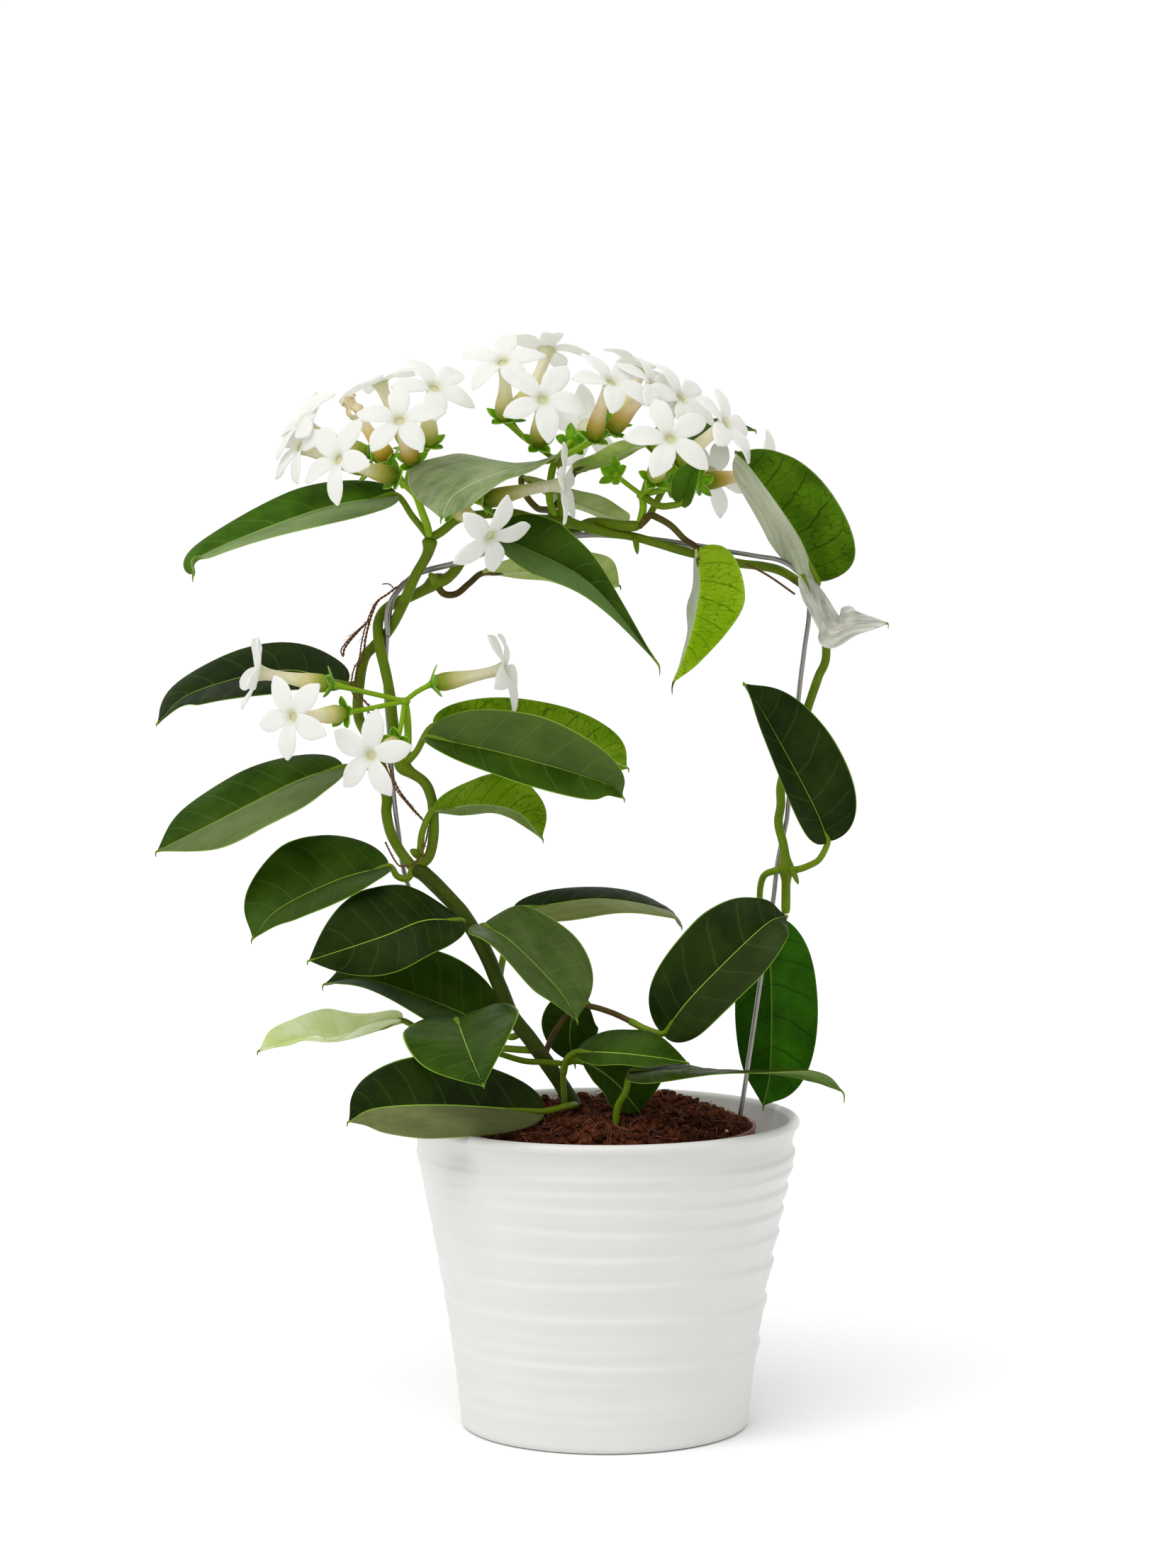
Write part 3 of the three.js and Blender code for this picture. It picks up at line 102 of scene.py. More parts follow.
SOIL_RADIUS = 57.4
SOIL_EDGE_HEIGHT = 118.5
SOIL_CROWN = 8
SOIL_SIDES = 240
SOIL_RINGS = 88
SOIL_CLODS = [(24, 20, 5.5, 70), (46, -2, 3.0, 60)]  # x, y, height and spread squared
SOIL_LUMPS = [(3, 17, 3.2), (9, 6, 2.3)]  # layer of the noise, width and height
CRUMBS = 1500
CRUMB_SPREAD = 0.985  # how far out crumbs lie, as a share of the peat's radius
CRUMB_SEED = 11
CRUMB_SIZES = [0.7, 0.9, 1.2, 1.6, 2.2, 2.2, 3.0]
PERLITE = (47.5, -26, 121.5)
FIBRES = 620
FIBRE_SPREAD = 0.95
FIBRE_SEED = 23
FIBRE_LENGTHS = (3, 11)
FIBRE_ARCHES = (0.4, 2.6)  # how high the middle of a fibre lies over the peat
FIBRE_ENDS = [-0.8, -0.4, 0.6, 1.8]  # and how high its ends may lie
FIBRE_RADII = (0.1, 0.28)
FIBRE_TAPER = np.array([0.5, 1, 1, 1, 1, 1, 0.9, 0.4])

WIRE_RADIUS = 0.95
SHOOT_RADIUS = 1.2
NODE_RADIUS = 3.3
NODE_REACH = 3.4  # how far along the stem a node's swelling reaches
STEM_STEP = 1.1  # how far apart the rings of a stem, a wire, a twine and the tendril lie
WIRE_STEP = 1.6
TWINE_STEP = 0.45
TENDRIL_STEP = 0.8
TWINE_RADIUS = 0.5
TWINE_LAY = 7  # length of one full turn of a twine's strands, in radii
HAIR_SPACING = 3
HAIR_LENGTHS = (1.0, 2.4)
HAIR_RADII = [0.09, 0.08, 0.07, 0.05, 0.03]
SLACK_RADIUS = 0.36
LOOP_RADIUS = 0.42
END_RADIUS = 0.3
TENDRIL_RADIUS = 0.45

BLADE_THICKNESS = 0.8
BLADE_ROWS = 54
BLADE_COLUMNS = [0.025, 0.055, 0.1, 0.17, 0.26, 0.37, 0.49, 0.61, 0.72, 0.82, 0.9, 0.955, 0.985, 1]
TIP_DRAW = 1.1
MARGIN_CURL = 0.1
MARGIN_WAVE = 0.7
BASE_EAR = 1.5
EAR_REACH = 0.12  # as a share of the blade's length
RIB_GROOVE = 0.16
GROOVE_REACH = 0.55  # how far the groove over the rib and the keel under it reach sideways
KEEL_REACH = 0.8
PETIOLE_RADIUS = 1.2
POINT_LENGTH = 1.6
QUILT = 0.14  # height of the swellings between the side veins
SIDE_VEINS = 8.5
VEIN_LEAN = 0.85
DRAW_IN = 3  # over how many millimetres a piece that stands proud of the CAD box is drawn in

LOBES = 5
LOBE_LENGTH = 17.6
LOBE_THICKNESS = 0.9
LOBE_ROWS = 22
LOBE_COLUMNS = 13
LOBE_WRAP = (2.9, 6.5)  # distances over which a lobe turns from lying round the tube to flat
TUBE_FOOT = 1.1
TUBE_SIDES = 20
SEPAL_THICKNESS = 0.55
SEPAL_ROWS = 10
SEPAL_COLUMNS = 9
SEPAL_WRAP = (0.8, 2.6)
SEPAL_GROOVE = 0.1
PEDICEL_RADIUS = 1.0
PEDICEL_END = [1.05, 1.2, 1.5, 1.75, 1.2]  # radii where it swells under the calyx
PEDUNCLE_RADIUS = 1.5
KNOB_RADIUS = 2.2
KNOB_HALF_HEIGHT = 1.9

# Light: radiance of the room in front and of the backdrop, and what the lamps give. Places
# and sizes of the lamps are in metres.
ROOM_LIGHT = 0.21
BACKDROP_LIGHT = 1.05
ROOM_SPREAD = (-1.0, 0.6)
HORIZON_BAND = (0.1, 0.17)
OVERHEAD_LIGHT = 1.7
OVERHEAD_SPREAD = 50
OVERHEAD_TURN = (28, -14, 0)
SOFTBOXES = [("softbox_left", (-1.1, -0.9, 1.3), 0.8, 4), ("softbox_right", (1.3, -0.5, 0.9), 0.6, 0.8)]
AIM = Vector((0, 0, 0.25))
FLOOR_REACH = 30.0

# A petal lobe from the throat to its tip: share, distance from the flower's axis, height
# over the throat and half width.
LOBE_SHAPE = [
    (0, 1.9, -1.5, 1.25), (0.07, 2.3, -1.15, 1.7), (0.15, 3.1, -0.5, 2.3), (0.25, 4.6, 0.15, 3.2),
    (0.38, 6.9, 0.7, 4.15), (0.52, 9.6, 0.95, 4.5), (0.66, 12.3, 0.85, 4.2), (0.8, 14.9, 0.5, 3.1),
    (0.9, 16.5, 0.1, 1.75), (0.96, 17.4, -0.2, 0.75), (1, 18, -0.45, 0.15),
]
# The corolla's tube from its foot to the throat: share of its length and radius.
TUBE_SHAPE = [
    (0, 2.2), (0.03, 3.1), (0.08, 3.6), (0.15, 3.65), (0.25, 3.35), (0.38, 2.75), (0.55, 2.3),
    (0.72, 2.2), (0.84, 2.45), (0.93, 3.05), (1, 3.9),
]
# How the tube goes on inside the throat: mark, radius and height over the throat.
THROAT_SHAPE = [(1.04, 3.3, -0.45), (1.02, 2.6, -1.1), (1, 1.7, -1.75), (1, 0.8, -2.05)]
# A sepal: share, distance from the axis, height over the calyx's middle and half width.
SEPAL_SHAPE = [
    (0, 0.8, -1.1, 0.9), (0.18, 1.8, -0.35, 1.5), (0.4, 3.2, 0.4, 2.15), (0.62, 4.7, 1.1, 2),
    (0.82, 6, 1.8, 1.2), (1, 7.1, 2.6, 0.14),
]

# ------------------------------------------------------------ routes of vine, hoop and twine
# Each stem: its radius, the points it passes and the nodes where it swells.
STEMS = {
    "stem_base": (3.1, [
        (-9.5, -6, 112), (-11.5, -6, 126), (-16.5, -8, 136), (-23, -9, 146), (-30, -9, 156),
        (-37, -8, 165), (-42, -7, 177), (-47, -6, 189), (-55, -5, 203), (-60, -4, 209), (-71, -3, 220),
        (-76, -3, 223),
    ], [(-76, -3, 223)]),
    "stem_left": (2.1, [
        (-76, -3, 223), (-81, 1, 229), (-85, 4, 236), (-87, 8, 244), (-87, 10, 251), (-91, 13, 268),
        (-98, 14, 281), (-98, 14, 294), (-96, 14, 305), (-92, 13, 310), (-87, 12, 315), (-83, 8, 321),
        (-79, 2, 329), (-75, 0, 338), (-70, 0, 347), (-69, 0, 353),
    ], [(-69, 0, 353)]),
    "stem_right": (2.1, [
        (-76, -3, 223), (-70, -2, 227), (-68, 0, 235), (-68, 1, 244), (-69, 2, 251), (-72, 2, 257),
        (-80, 2, 263), (-83, 3, 272), (-84, 3, 281), (-85, 3, 291), (-87, 3.5, 301), (-89, 5, 309),
        (-90, 8, 315), (-90, 11, 320), (-88, 13, 324), (-84, 14, 327), (-77, 14, 330), (-71, 12, 333),
        (-67, 11, 336), (-63, 12, 337), (-59, 13, 341), (-56, 13, 346), (-52, 13, 349), (-43, 13, 354),
        (-32, 12, 355), (-21, 12, 356), (-11.5, 11, 357), (-6, 8, 359), (0, 4, 359), (7.5, 1, 358),
        (13.5, 0, 358),
    ], [(-80, 2, 263), (-67, 11, 335)]),
    "stem_top": (1.8, [
        (-69, 0, 353), (-64, -1, 356), (-59, -2, 360), (-53, -2, 362), (-37, 0, 363), (-28, 1, 361),
        (-17, 0, 360), (-6, 2, 357), (2.5, 3, 355), (10, 3, 354), (21, 3, 351), (31, 3, 348),
        (44, 4, 345), (54, 5, 343), (62, 10, 342), (70, 14, 340), (78, 15, 335), (84, 14, 330),
        (87, 13, 322), (88, 12, 306), (85, 12, 298), (82, 13, 289), (77, 14, 274), (72, 12, 261),
        (70, 9, 254), (70, 8, 247), (69, 6, 240), (71, 4, 231), (72, 4, 222), (72, 5, 214), (72, 6, 204),
    ], [(-17, 0, 360), (72, 4, 222)]),
}
# Stubs and buds on the stems: root, direction, length and radius.
STEM_BUDS = {
    "stem_right": [
        ((-67, 0, 336), (-0.5, -0.4, 0.8), 4.5, 1.9), ((-73.5, -3, 228), (-0.7, -0.6, 0.5), 5, 1.9),
    ],
    "stem_top": [
        ((12, 0, 353), (0.12, -0.3, -1), 6.5, 1.3), ((74.5, -1, 221.5), (0.4, -0.5, -1), 6, 1.2),
    ],
}
# The hoop: its first wire, and a second that lies against it over the arch, a little higher.
HOOP = [
    (-50, 9, 100), (-51, 9, 122), (-62, 9, 160), (-73, 9, 198), (-80, 9, 220), (-82, 9, 234),
    (-84, 8, 251), (-86, 8, 279), (-87, 8, 292), (-87, 8, 305), (-86, 8, 318), (-84, 8, 329),
    (-77, 8, 337), (-71, 8, 340), (-55, 8, 344), (-43, 8, 349), (-26, 8, 352), (-9.5, 8, 354),
    (2, 8, 354), (21, 8, 352), (41, 8, 349), (60, 8, 346), (70, 8, 344), (78, 8, 338), (81, 8, 326),
    (79, 8, 308), (77, 8, 291), (73, 9, 247), (72, 9, 239), (69, 9, 225), (67, 9, 208), (62.5, 9, 179),
    (54.8, 9, 126), (52, 9, 112), (50.5, 9, 100),
]
SECOND_WIRE_START = [(-86, 5.7, 314), (-86.5, 5.7, 320), (-86, 5.7, 325), (-83.5, 5.7, 330.5)]
WIRES = {
    "hoop_wire": HOOP,
    "hoop_wire_second": SECOND_WIRE_START + [(x, y - 2.3, z + 0.5) for x, y, z in HOOP[12:21]],
}
# Thin side shoots near the peat: the routes of their stalks.
SHOOTS = {
    "shoot_low": [
        [(-16, -16, 114), (-16, -16, 130), (-16.5, -16, 140), (-16.5, -17.5, 147)],
        [(-16.5, -17.5, 147), (-24, -17, 147.5), (-32, -17, 148), (-42, -17, 151), (-46, -17, 153)],
    ],
    "shoot_brown": [
        [(-24, -8, 149), (-20, 0, 157), (-13, 1, 166), (-6.5, -4, 168), (2.5, -8, 166), (10, -12, 163),
         (16, -16, 160.5)],
    ],
}
# The twine that the solid has too: the tied strand and its loose end.
TWINE = [
    [(-82, 4.5, 334), (-86, 3.5, 331), (-90, 4.5, 328), (-93, 6, 321), (-95, 7, 313), (-96, 8.5, 306),
     (-98, 9, 302), (-99, 9, 295), (-97, 9, 290), (-92, 6, 285), (-89, 3, 280), (-87, 1, 269),
     (-83, 1, 256), (-77, 3, 247), (-72, 5, 241)],
    [(-93, 6, 321), (-98, 6, 316), (-103, 8, 310), (-104, 8, 306)],
]
# Strands that show only here: how far a looser one bulges, the cut ends, a loop and a tendril.
TWINE_SLACK = np.array([-1.8, -0.6, -1.0])
TWINE_ENDS = [
    [(-82.5, 4, 333.5), (-79, 2, 336.5), (-75.5, 0, 337)], [(-83, 4, 333), (-85.5, 3, 335), (-88, 2.5, 335)],
]
TWINE_LOOP = [
    (-70, 6, 239), (-71, -4, 233), (-74, -7, 226), (-80, -7.5, 224), (-83, -5, 226), (-87, -1, 233),
]
TENDRIL = [(56, 2, 343), (65, 1, 338), (75, 2, 331)]

# ------------------------------------------------------------ rows of leaves
# Each leaf: the points of its stalk and of its midrib, the half widths at the two sides of the
# rib, its roll at the middle, its twist from base to tip and its fold, in degrees, where it is
# widest as a share of its length, and how late it narrows. Then what isn't as usual: the CAD
# node it belongs to, whether its pale side shows, the tones of its two faces, a painted highlight
# on one of them as (half, tone, strength) with half 1, -1 or 0 for both, the height of the
# margin's waves, the length of the drawn-out tip and the finish of the stalk. The painted
# highlight is laid into the face's colour; where its tone is darker than the face, as on
# leaf_right_low_back, it is painted shade, and on leaf_mid_back it paints the pale underside that
# shows along the lower margin.
Leaf = namedtuple(
    "Leaf",
    "name petiole rib halves roll twist fold widest taper "
    "piece pale tone under sheen back_sheen wave point stalk",
    defaults=(None, False, "dark", "green", None, None, MARGIN_WAVE, POINT_LENGTH, "petiole"),
)
LEAVES = [
    Leaf("leaf_top_left", [(-69, 0, 353), (-72, -1, 357), (-76, -2, 362)],
         [(-82, -3, 370), (-113, -12, 364), (-156, -20, 347), (-160, -26, 339)],
         (16, 19), 62, 16, 17, 0.36, 1.3, tone="mid", sheen=(1, "#a8b884", 0.42), point=2.2),
    Leaf("leaf_top_arched", [(-17, 0, 360), (-17.5, -3.5, 366), (-17, -5, 377)],
         [(-18.8, -6, 384.5), (-29.4, -18, 382), (-44.6, -29, 377.3), (-58, -41, 370), (-63, -43, 361)],
         (28, 10.4), 62, -84, 8, 0.5, 3.2, tone="sage", under="pale", sheen=(0, "#d0ccb0", 0.36),
         wave=1.1),
    Leaf("leaf_top_hanging", [(-54, -2, 362), (-52, -5, 358), (-48, -8, 356)],
         [(-43, -10.5, 354), (-28.4, -14.5, 348), (-9.5, -20, 338.7), (4, -26, 326), (20.5, -24, 304.5)],
         (14.2, 16.4), -10, 60, 38, 0.33, 0.9, sheen=(-1, "#68844a", 0.7), point=3.6),
    Leaf("leaf_top_back_low", [(-67, 11, 335), (-64, 11, 331), (-59, 11, 331), (-54, 12, 335)],
         [(-49, 14, 339), (-28, 23, 340), (-10, 31, 337.5), (6, 38, 333.5)],
         (15, 13), -123, -33, 17, 0.5, 4, pale=True, under="pale", stalk="brown_petiole"),
    Leaf("leaf_top_back_high", [(-19, 0, 361), (-22, 6, 364), (-27, 12, 365), (-32, 15, 371)],
         [(-33, 16, 377), (-13, 26, 368), (2, 34, 362), (10, 40, 359)], (12, 12), -111, -8, 12, 0.42, 2.1,
         piece="leaves_top_back_pair", pale=True, under="pale", stalk="brown_petiole"),
    Leaf("leaf_top_behind_flowers", [(-19, 0, 361), (-21.5, 6, 364), (-17, 6, 369)],
         [(-12, 4, 379), (3, 13, 385), (16, 24, 390), (30, 36, 391)], (13, 13), -75, -4, 12, 0.42, 2.1,
         piece="leaves_top_back_pair", tone="light", stalk="brown_petiole"),
    Leaf("leaf_right_behind_flowers", [(13.5, 1, 358), (17.5, 9, 362), (23, 14, 372)],
         [(29, 16, 381), (39, 21, 392), (49, 25, 397), (60, 28, 396)], (12, 12), -70, 0, 12, 0.42, 2.1),
    Leaf("leaf_right_large", [(78, 15, 335), (82.5, 9, 333.5)],
         [(84, 0, 336), (76, -7, 355), (58, -12, 380), (51, -14, 387)], (25, 27), 123, -25, 15, 0.43, 1.8,
         piece="leaves_right_pair", pale=True, under="net", back_sheen=(-1, "#f6fadc", 1)),
    Leaf("leaf_right_translucent",
         [(13.5, 0, 358), (17.5, -2, 362), (21, -3, 361), (26, -4, 358), (31, -4, 353)],
         [(36.3, -3, 349), (37.7, -8.5, 334.8), (35.4, -12, 320.5), (31.6, -13, 307.8), (26.7, -12.5, 296.7)],
         (22, 20.4), -120, 9, 26, 0.36, 1.2, pale=True, under="lime", back_sheen=(1, "#fafaf0", 1),
         point=3.6, stalk="brown_petiole"),
    Leaf("leaf_right_creased", [(82.5, 9, 333.5), (81.5, 4, 334)],
         [(77.5, -5, 338), (82.8, -11, 327), (88.8, -13, 317), (98.3, -19, 320), (111, -13, 320)],
         (12.6, 10.3), -56, -13, 19, 0.7, 1.2, piece="leaves_right_pair", tone="grey_and_painted_gloss",
         sheen=(0, "#e6e4da", 0.85), point=2),
    Leaf("leaf_right_dark", [(72, 4, 222), (76, 0, 222), (81, -3, 224), (85, -5, 227)],
         [(88, -6, 234), (81, -13, 250), (64, -18, 281), (54, -22, 297)], (20, 12), 30, 58, 28, 0.49, 1.8,
         tone="deep"),
    Leaf("leaf_right_low_back", [(72, 4, 222), (67, 4.5, 221), (63, 9, 218), (62, 14, 209)],
         [(64, 16, 200), (67, 26, 174), (67, 28, 139), (64, 22, 124)], (21, 15), 173, 28, 16, 0.44, 1.8,
         pale=True, under="deep", back_sheen=(1, "#1c3a08", 0.4)),
    Leaf("leaf_low_right_large", [(10, -12, 163), (16, -16, 160.5)],
         [(23, -18, 159), (35, -28, 176), (61, -30, 202), (71, -22, 206)],
         (17, 21), -31, -8, 14, 0.52, 1.4, piece="shoot_brown", tone="deep", sheen=(-1, "#3a4a20", 0.35)),
    Leaf("leaf_low_right_flat", [(4, -28, 116), (4.5, -29, 130), (8, -31, 138)],
         [(10.3, -32, 145.9), (31, -44, 148), (53, -49, 148.4), (78, -51, 148.2), (91, -50, 141)],
         (19, 19), -98, -28, 2, 0.3, 3.2, tone="dusky", point=4.2),
    Leaf("leaf_low_centre", [(-16.5, -16.5, 143), (-15, -20, 149)],
         [(-11, -25, 152.6), (4, -31, 152.9), (19, -36, 152), (32, -40, 150.4)],
         (8, 19), -62, 4, 3, 0.34, 1.9, piece="shoot_low"),
    Leaf("leaf_mid_right", [(-51, -5, 195), (-50, -8, 198)],
         [(-48, -12, 201), (-37, -25, 196), (-19, -34, 179), (-11, -40, 167)],
         (18, 21), -49, 19, 27, 0.49, 1.9, sheen=(0, "#5c6a3c", 0.6)),
    Leaf("leaf_mid_back", [(-42, -7, 178), (-41, 4, 184), (-39, 10, 193)],
         [(-36, 14, 204), (-3, 22, 208), (24, 29, 203), (31, 34, 196)], (16, 12), -77, -45, 8, 0.37, 1.8,
         tone="deep", sheen=(-1, "#98a458", 0.62)),
    Leaf("leaf_left_upper", [(-98, 14, 296), (-100, 12, 295)],
         [(-103, 10, 295), (-129, 20, 300), (-165, 22, 291), (-179, 14, 279)],
         (18, 19), 60, 16, 12, 0.47, 1.7, tone="deep", point=1),
    Leaf("leaf_left_middle", [(-90, 12, 263), (-97, 8, 262)],
         [(-104, 4, 262.4), (-120, 1.5, 257.7), (-138, -2.5, 249.2), (-158, -8, 239.1), (-176, -14, 230.5)],
         (22.8, 28), 62, -5, 12, 0.57, 2.2, sheen=(1, "#6f7f4a", 0.75), point=2),
    Leaf("leaf_left_lower", [(-76, -3, 223), (-78, -5, 219), (-82, -7, 220)],
         [(-85, -8, 224), (-105, -13, 219), (-128, -19, 208), (-138, -24, 197)],
         (27, 20), 53, -22, 20, 0.47, 1.4, sheen=(1, "#3c4f22", 0.5)),
    Leaf("leaf_low_left_dark", [(-55, -5, 203), (-56, -8, 202)],
         [(-57, -12, 203), (-71, -24, 204), (-87, -31, 198.5), (-115, -38, 190)],
         (22, 16), 34, -60, 4, 0.52, 3, tone="deep"),
    Leaf("leaf_low_left_back", [(-32, -9, 159), (-37, -6, 156)],
         [(-43, -2, 158), (-65, -7, 169), (-94, -8, 179), (-111, -6, 177)],
         (24, 20), 62, 38, 22, 0.41, 2.2, point=2.6),
    Leaf("leaf_low_left_pale", [(-28, -9, 151), (-42, -1, 151), (-60, 5, 153), (-72, 7, 156)],
         [(-81, 6, 161), (-106, 10, 153), (-122, 9, 153), (-138, 4, 149)],
         (22, 21), 82, -14, 22, 0.37, 2.5, pale=True, tone="cream", under="white", wave=1.8),
    Leaf("leaf_heart", [(-42, -17, 151), (-51, -21, 157)],
         [(-58, -24, 165), (-55, -44, 161), (-51, -65, 155), (-46, -86, 148)],
         (25, 25), -19, 22, 24, 0.42, 2.1, piece="shoot_low", point=0.9),
    Leaf("leaf_over_rim", [(-12, -7, 128), (-12, -14, 130), (-15, -23, 131)],
         [(-24, -30, 130), (-61, -60.5, 137), (-87, -72, 137.5), (-98, -70, 132)],
         (19, 13), 16, 0, 6, 0.42, 1.6, tone="deep", sheen=(1, "#7c8452", 0.85)),
    Leaf("leaf_middle_front", [(-79, 2, 264), (-74.5, -2.5, 269)],
         [(-70, -10, 275), (-38, -22, 269), (-2, -30, 259), (7, -34, 253)],
         (19, 19), -27, 44, 35, 0.41, 1.3, piece="leaves_middle_pair", sheen=(1, "#74864a", 0.3)),
    Leaf("leaf_middle_behind", [(-79, 2, 264), (-74.5, -2, 269)],
         [(-68, 2, 279), (-32, 12, 273), (-5, 13, 267), (9, 4, 262)], (20, 19), -210, -6, 13, 0.43, 1.8,
         piece="leaves_middle_pair", pale=True, under="bright"),
    Leaf("leaf_middle_pale", [(-73, -3, 224), (-73, -3, 231), (-72, -3, 238)],
         [(-68, -2, 246), (-50, 7, 248), (-34, 13, 244), (-25, 16, 233)],
         (18, 15), -127, -18, 18, 0.43, 1.9, pale=True, under="bright", back_sheen=(1, "#8fa45c", 0.7),
         wave=1.2),
]
SHOOT_LEAVES = {
    "shoot_low": Leaf(
        "shoot_low_young_leaf_1", [(-16.5, -17.5, 147), (-12, -16.5, 148)],
        [(-8, -16, 147.2), (-2, -16, 143.8), (5, -17, 138.4), (9.5, -18, 133), (14, -19.5, 127.8)],
        (8, 21), -35, 60, 6, 0.6, 2.6, piece="shoot_low", under="deep", back_sheen=(0, "#b4b8a8", 0.8),
    ),
    "shoot_brown": Leaf(
        "shoot_brown_young_leaf_1", [(-6.5, -4, 168), (-8, -1, 169.5)],
        [(-10, 3, 169.5), (-13, 7, 162), (-14, 9, 153), (-12, 9, 143)], (12, 12), 10, 0, 15, 0.42, 2.1,
        piece="shoot_brown",
    ),
}
BRACTS = {
    "right": Leaf(
        "umbel_right_bract", [(14.5, 0, 370), (21, -6, 366), (26, -11, 366)],
        [(30, -14, 367), (32, -17, 372), (34, -19, 378), (38, -20, 383)],
        (7.5, 7.5), -30, 0, 38, 0.42, 2.1, piece="umbel_right", tone="mid",
    ),
}

# ------------------------------------------------------------ rows of flowers
# Each flower head: its stalk up to the hub where the pedicels leave.
UMBELS = {
    "left": [(-69, 0, 353), (-70, -3, 358), (-72, -7, 364), (-74, -11, 370), (-78, -14, 374)],
    "middle": [(-18, 0, 361), (-21, -2, 365), (-22, -2, 371), (-21, -2, 379), (-19.5, -2, 384)],
    "right": [(13.5, 0, 358), (15, 0, 365), (14.5, 0, 370)],
    "lower": [(-79, 2, 264), (-78, 0, 272), (-78, -2, 281), (-79, -3, 289)],
}
EMPTY_CALYXES = {"right": [((4, -6, 378), (-0.5, -0.75, 0.45))]}
EMPTY_CALYX_WIDTH = 1.15

# Each flower of a head: its calyx, the middle of its throat, the way it faces and the turn of
# its lobes in degrees. Then what isn't as usual: the CAD node it belongs to, its lobes' length,
# how far a bud's lobes stand up, how far the lobes' tips stand forward and the tube's tones.
Flower = namedtuple(
    "Flower", "name calyx centre facing phase piece lobe spread cup tube",
    defaults=(None, LOBE_LENGTH, 0, 0, "cream"),
)
FLOWERS = {
    "left": [
        Flower("far_high", (-93, -2, 386), (-119, -8, 399), (-0.75, -0.3, 0.6), 34,
               piece="flowers_left_far_pair"),
        Flower("far_low", (-92, -8, 380), (-120, -14, 389), (-0.8, -0.5, 0.35), 66,
               piece="flowers_left_far_pair"),
        Flower("front", (-81, -24, 377), (-103, -42, 384), (-0.65, -0.7, 0.3), 46, tube="olive"),
        Flower("bud", (-84, -14, 383), (-97, -16, 402), (-0.55, -0.1, 0.83), 0, lobe=5, spread=7,
               tube="wilted"),
        Flower("centre", (-75, -18, 383), (-79, -44, 399), (-0.06, -0.8, 0.6), 1, tube="tan"),
        Flower("top", (-69, -4, 390), (-66, -24, 412), (0.3, -0.65, 0.7), 18),
        Flower("back", (-77, 4, 389), (-89, 8, 415), (-0.35, 0.05, 0.93), 47),
        Flower("drooping", (-59, -16, 366), (-44, -37, 354), (0.49, -0.7, -0.52), 64),
        Flower("side", (-48, -6, 367.5), (-16, -17, 374), (0.97, -0.2, 0.05), 5, cup=2, tube="olive"),
    ],
    "middle": [
        Flower("left", (-40, -4, 400), (-40, -24, 422), (-0.15, -0.65, 0.74), 2,
               piece="flowers_middle_front_pair"),
        Flower("top", (-38, 4, 400), (-23, 10, 428), (0.1, 0.4, 0.9), 24),
        Flower("front", (-26, -10, 390), (-24, -36, 407), (0.15, -0.88, 0.45), 42,
               piece="flowers_middle_front_pair", tube="olive"),
        Flower("right", (-4.5, -10, 392), (2.5, -30, 414), (0.4, -0.57, 0.72), 15, tube="tan"),
        Flower("far", (2, -4, 395), (19, -16, 413), (0.66, -0.36, 0.65), 50,
               piece="flowers_top_right_pair", tube="tan"),
        Flower("high", (3.5, 6, 398), (15, 16, 420), (0.45, 0.2, 0.87), 70),
        Flower("back", (-13.5, 8, 391), (-7, 34, 397), (0.25, 0.94, 0.2), 70),
    ],
    "right": [
        Flower("high", (20, 0, 387), (30, -14, 408), (0.6, -0.55, 0.6), 9,
               piece="flowers_top_right_pair"),
        Flower("front", (19, -12, 376), (25, -38, 392), (0.18, -0.86, 0.47), 14, lobe=18.5),
        Flower("far", (29, -6, 382), (47, -22, 398), (0.75, -0.45, 0.48), 49, lobe=17.5),
        Flower("side", (37, 0, 375), (65, 20, 379), (0.92, 0.37, 0.1), 1, cup=2.5, tube="tan"),
        Flower("back", (27, 6, 374), (43, 30, 378), (0.65, 0.72, 0.25), 35),
    ],
    "lower": [
        Flower("far", (-107, -14, 296), (-136, -16, 301), (-0.95, -0.15, 0.2), 40, cup=5),
        Flower("left", (-102, -18, 285), (-121, -42, 285), (-0.6, -0.8, 0.05), 28, lobe=17.5),
        Flower("front", (-82, -12, 273), (-91, -40, 270), (-0.42, -0.9, -0.06), 63),
        Flower("right", (-68, -4, 296), (-39, -4, 302), (0.94, -0.2, 0.25), 35),
    ],
}

# ------------------------------------------------------------ camera and light
def linked(name, data):
    """A new object of the scene."""
    item = bpy.data.objects.new(name, data)
    bpy.context.scene.collection.objects.link(item)
    return item


def make_camera():
    """The view that the object is judged from: nearly level, from 1.6 m away."""
    data = bpy.data.cameras.new("camera")
    data.lens = CAMERA_LENS
    data.sensor_width = CAMERA_SENSOR
    camera = linked("camera", data)
    camera.location = Vector(CAMERA_PLACE) * MM
    camera.rotation_euler = (math.pi / 2 - CAMERA_TILT, 0, 0)
    bpy.context.scene.camera = camera


def softbox(name, place, size, power):
    """A square lamp that looks at the middle of the plant."""
    data = bpy.data.lights.new(name, "AREA")
    data.size = size
    data.energy = power
    lamp = linked(name, data)
    lamp.location = place
    lamp.rotation_euler = (AIM - Vector(place)).to_track_quat("-Z", "Y").to_euler()


def range_node(nodes, band, low, high):
    """A node that turns the values of a band into values from low to high."""
    node = nodes.new("ShaderNodeMapRange")
    for key, value in zip(("From Min", "From Max", "To Min", "To Max"), (*band, low, high)):
        node.inputs[key].default_value = value
    return node


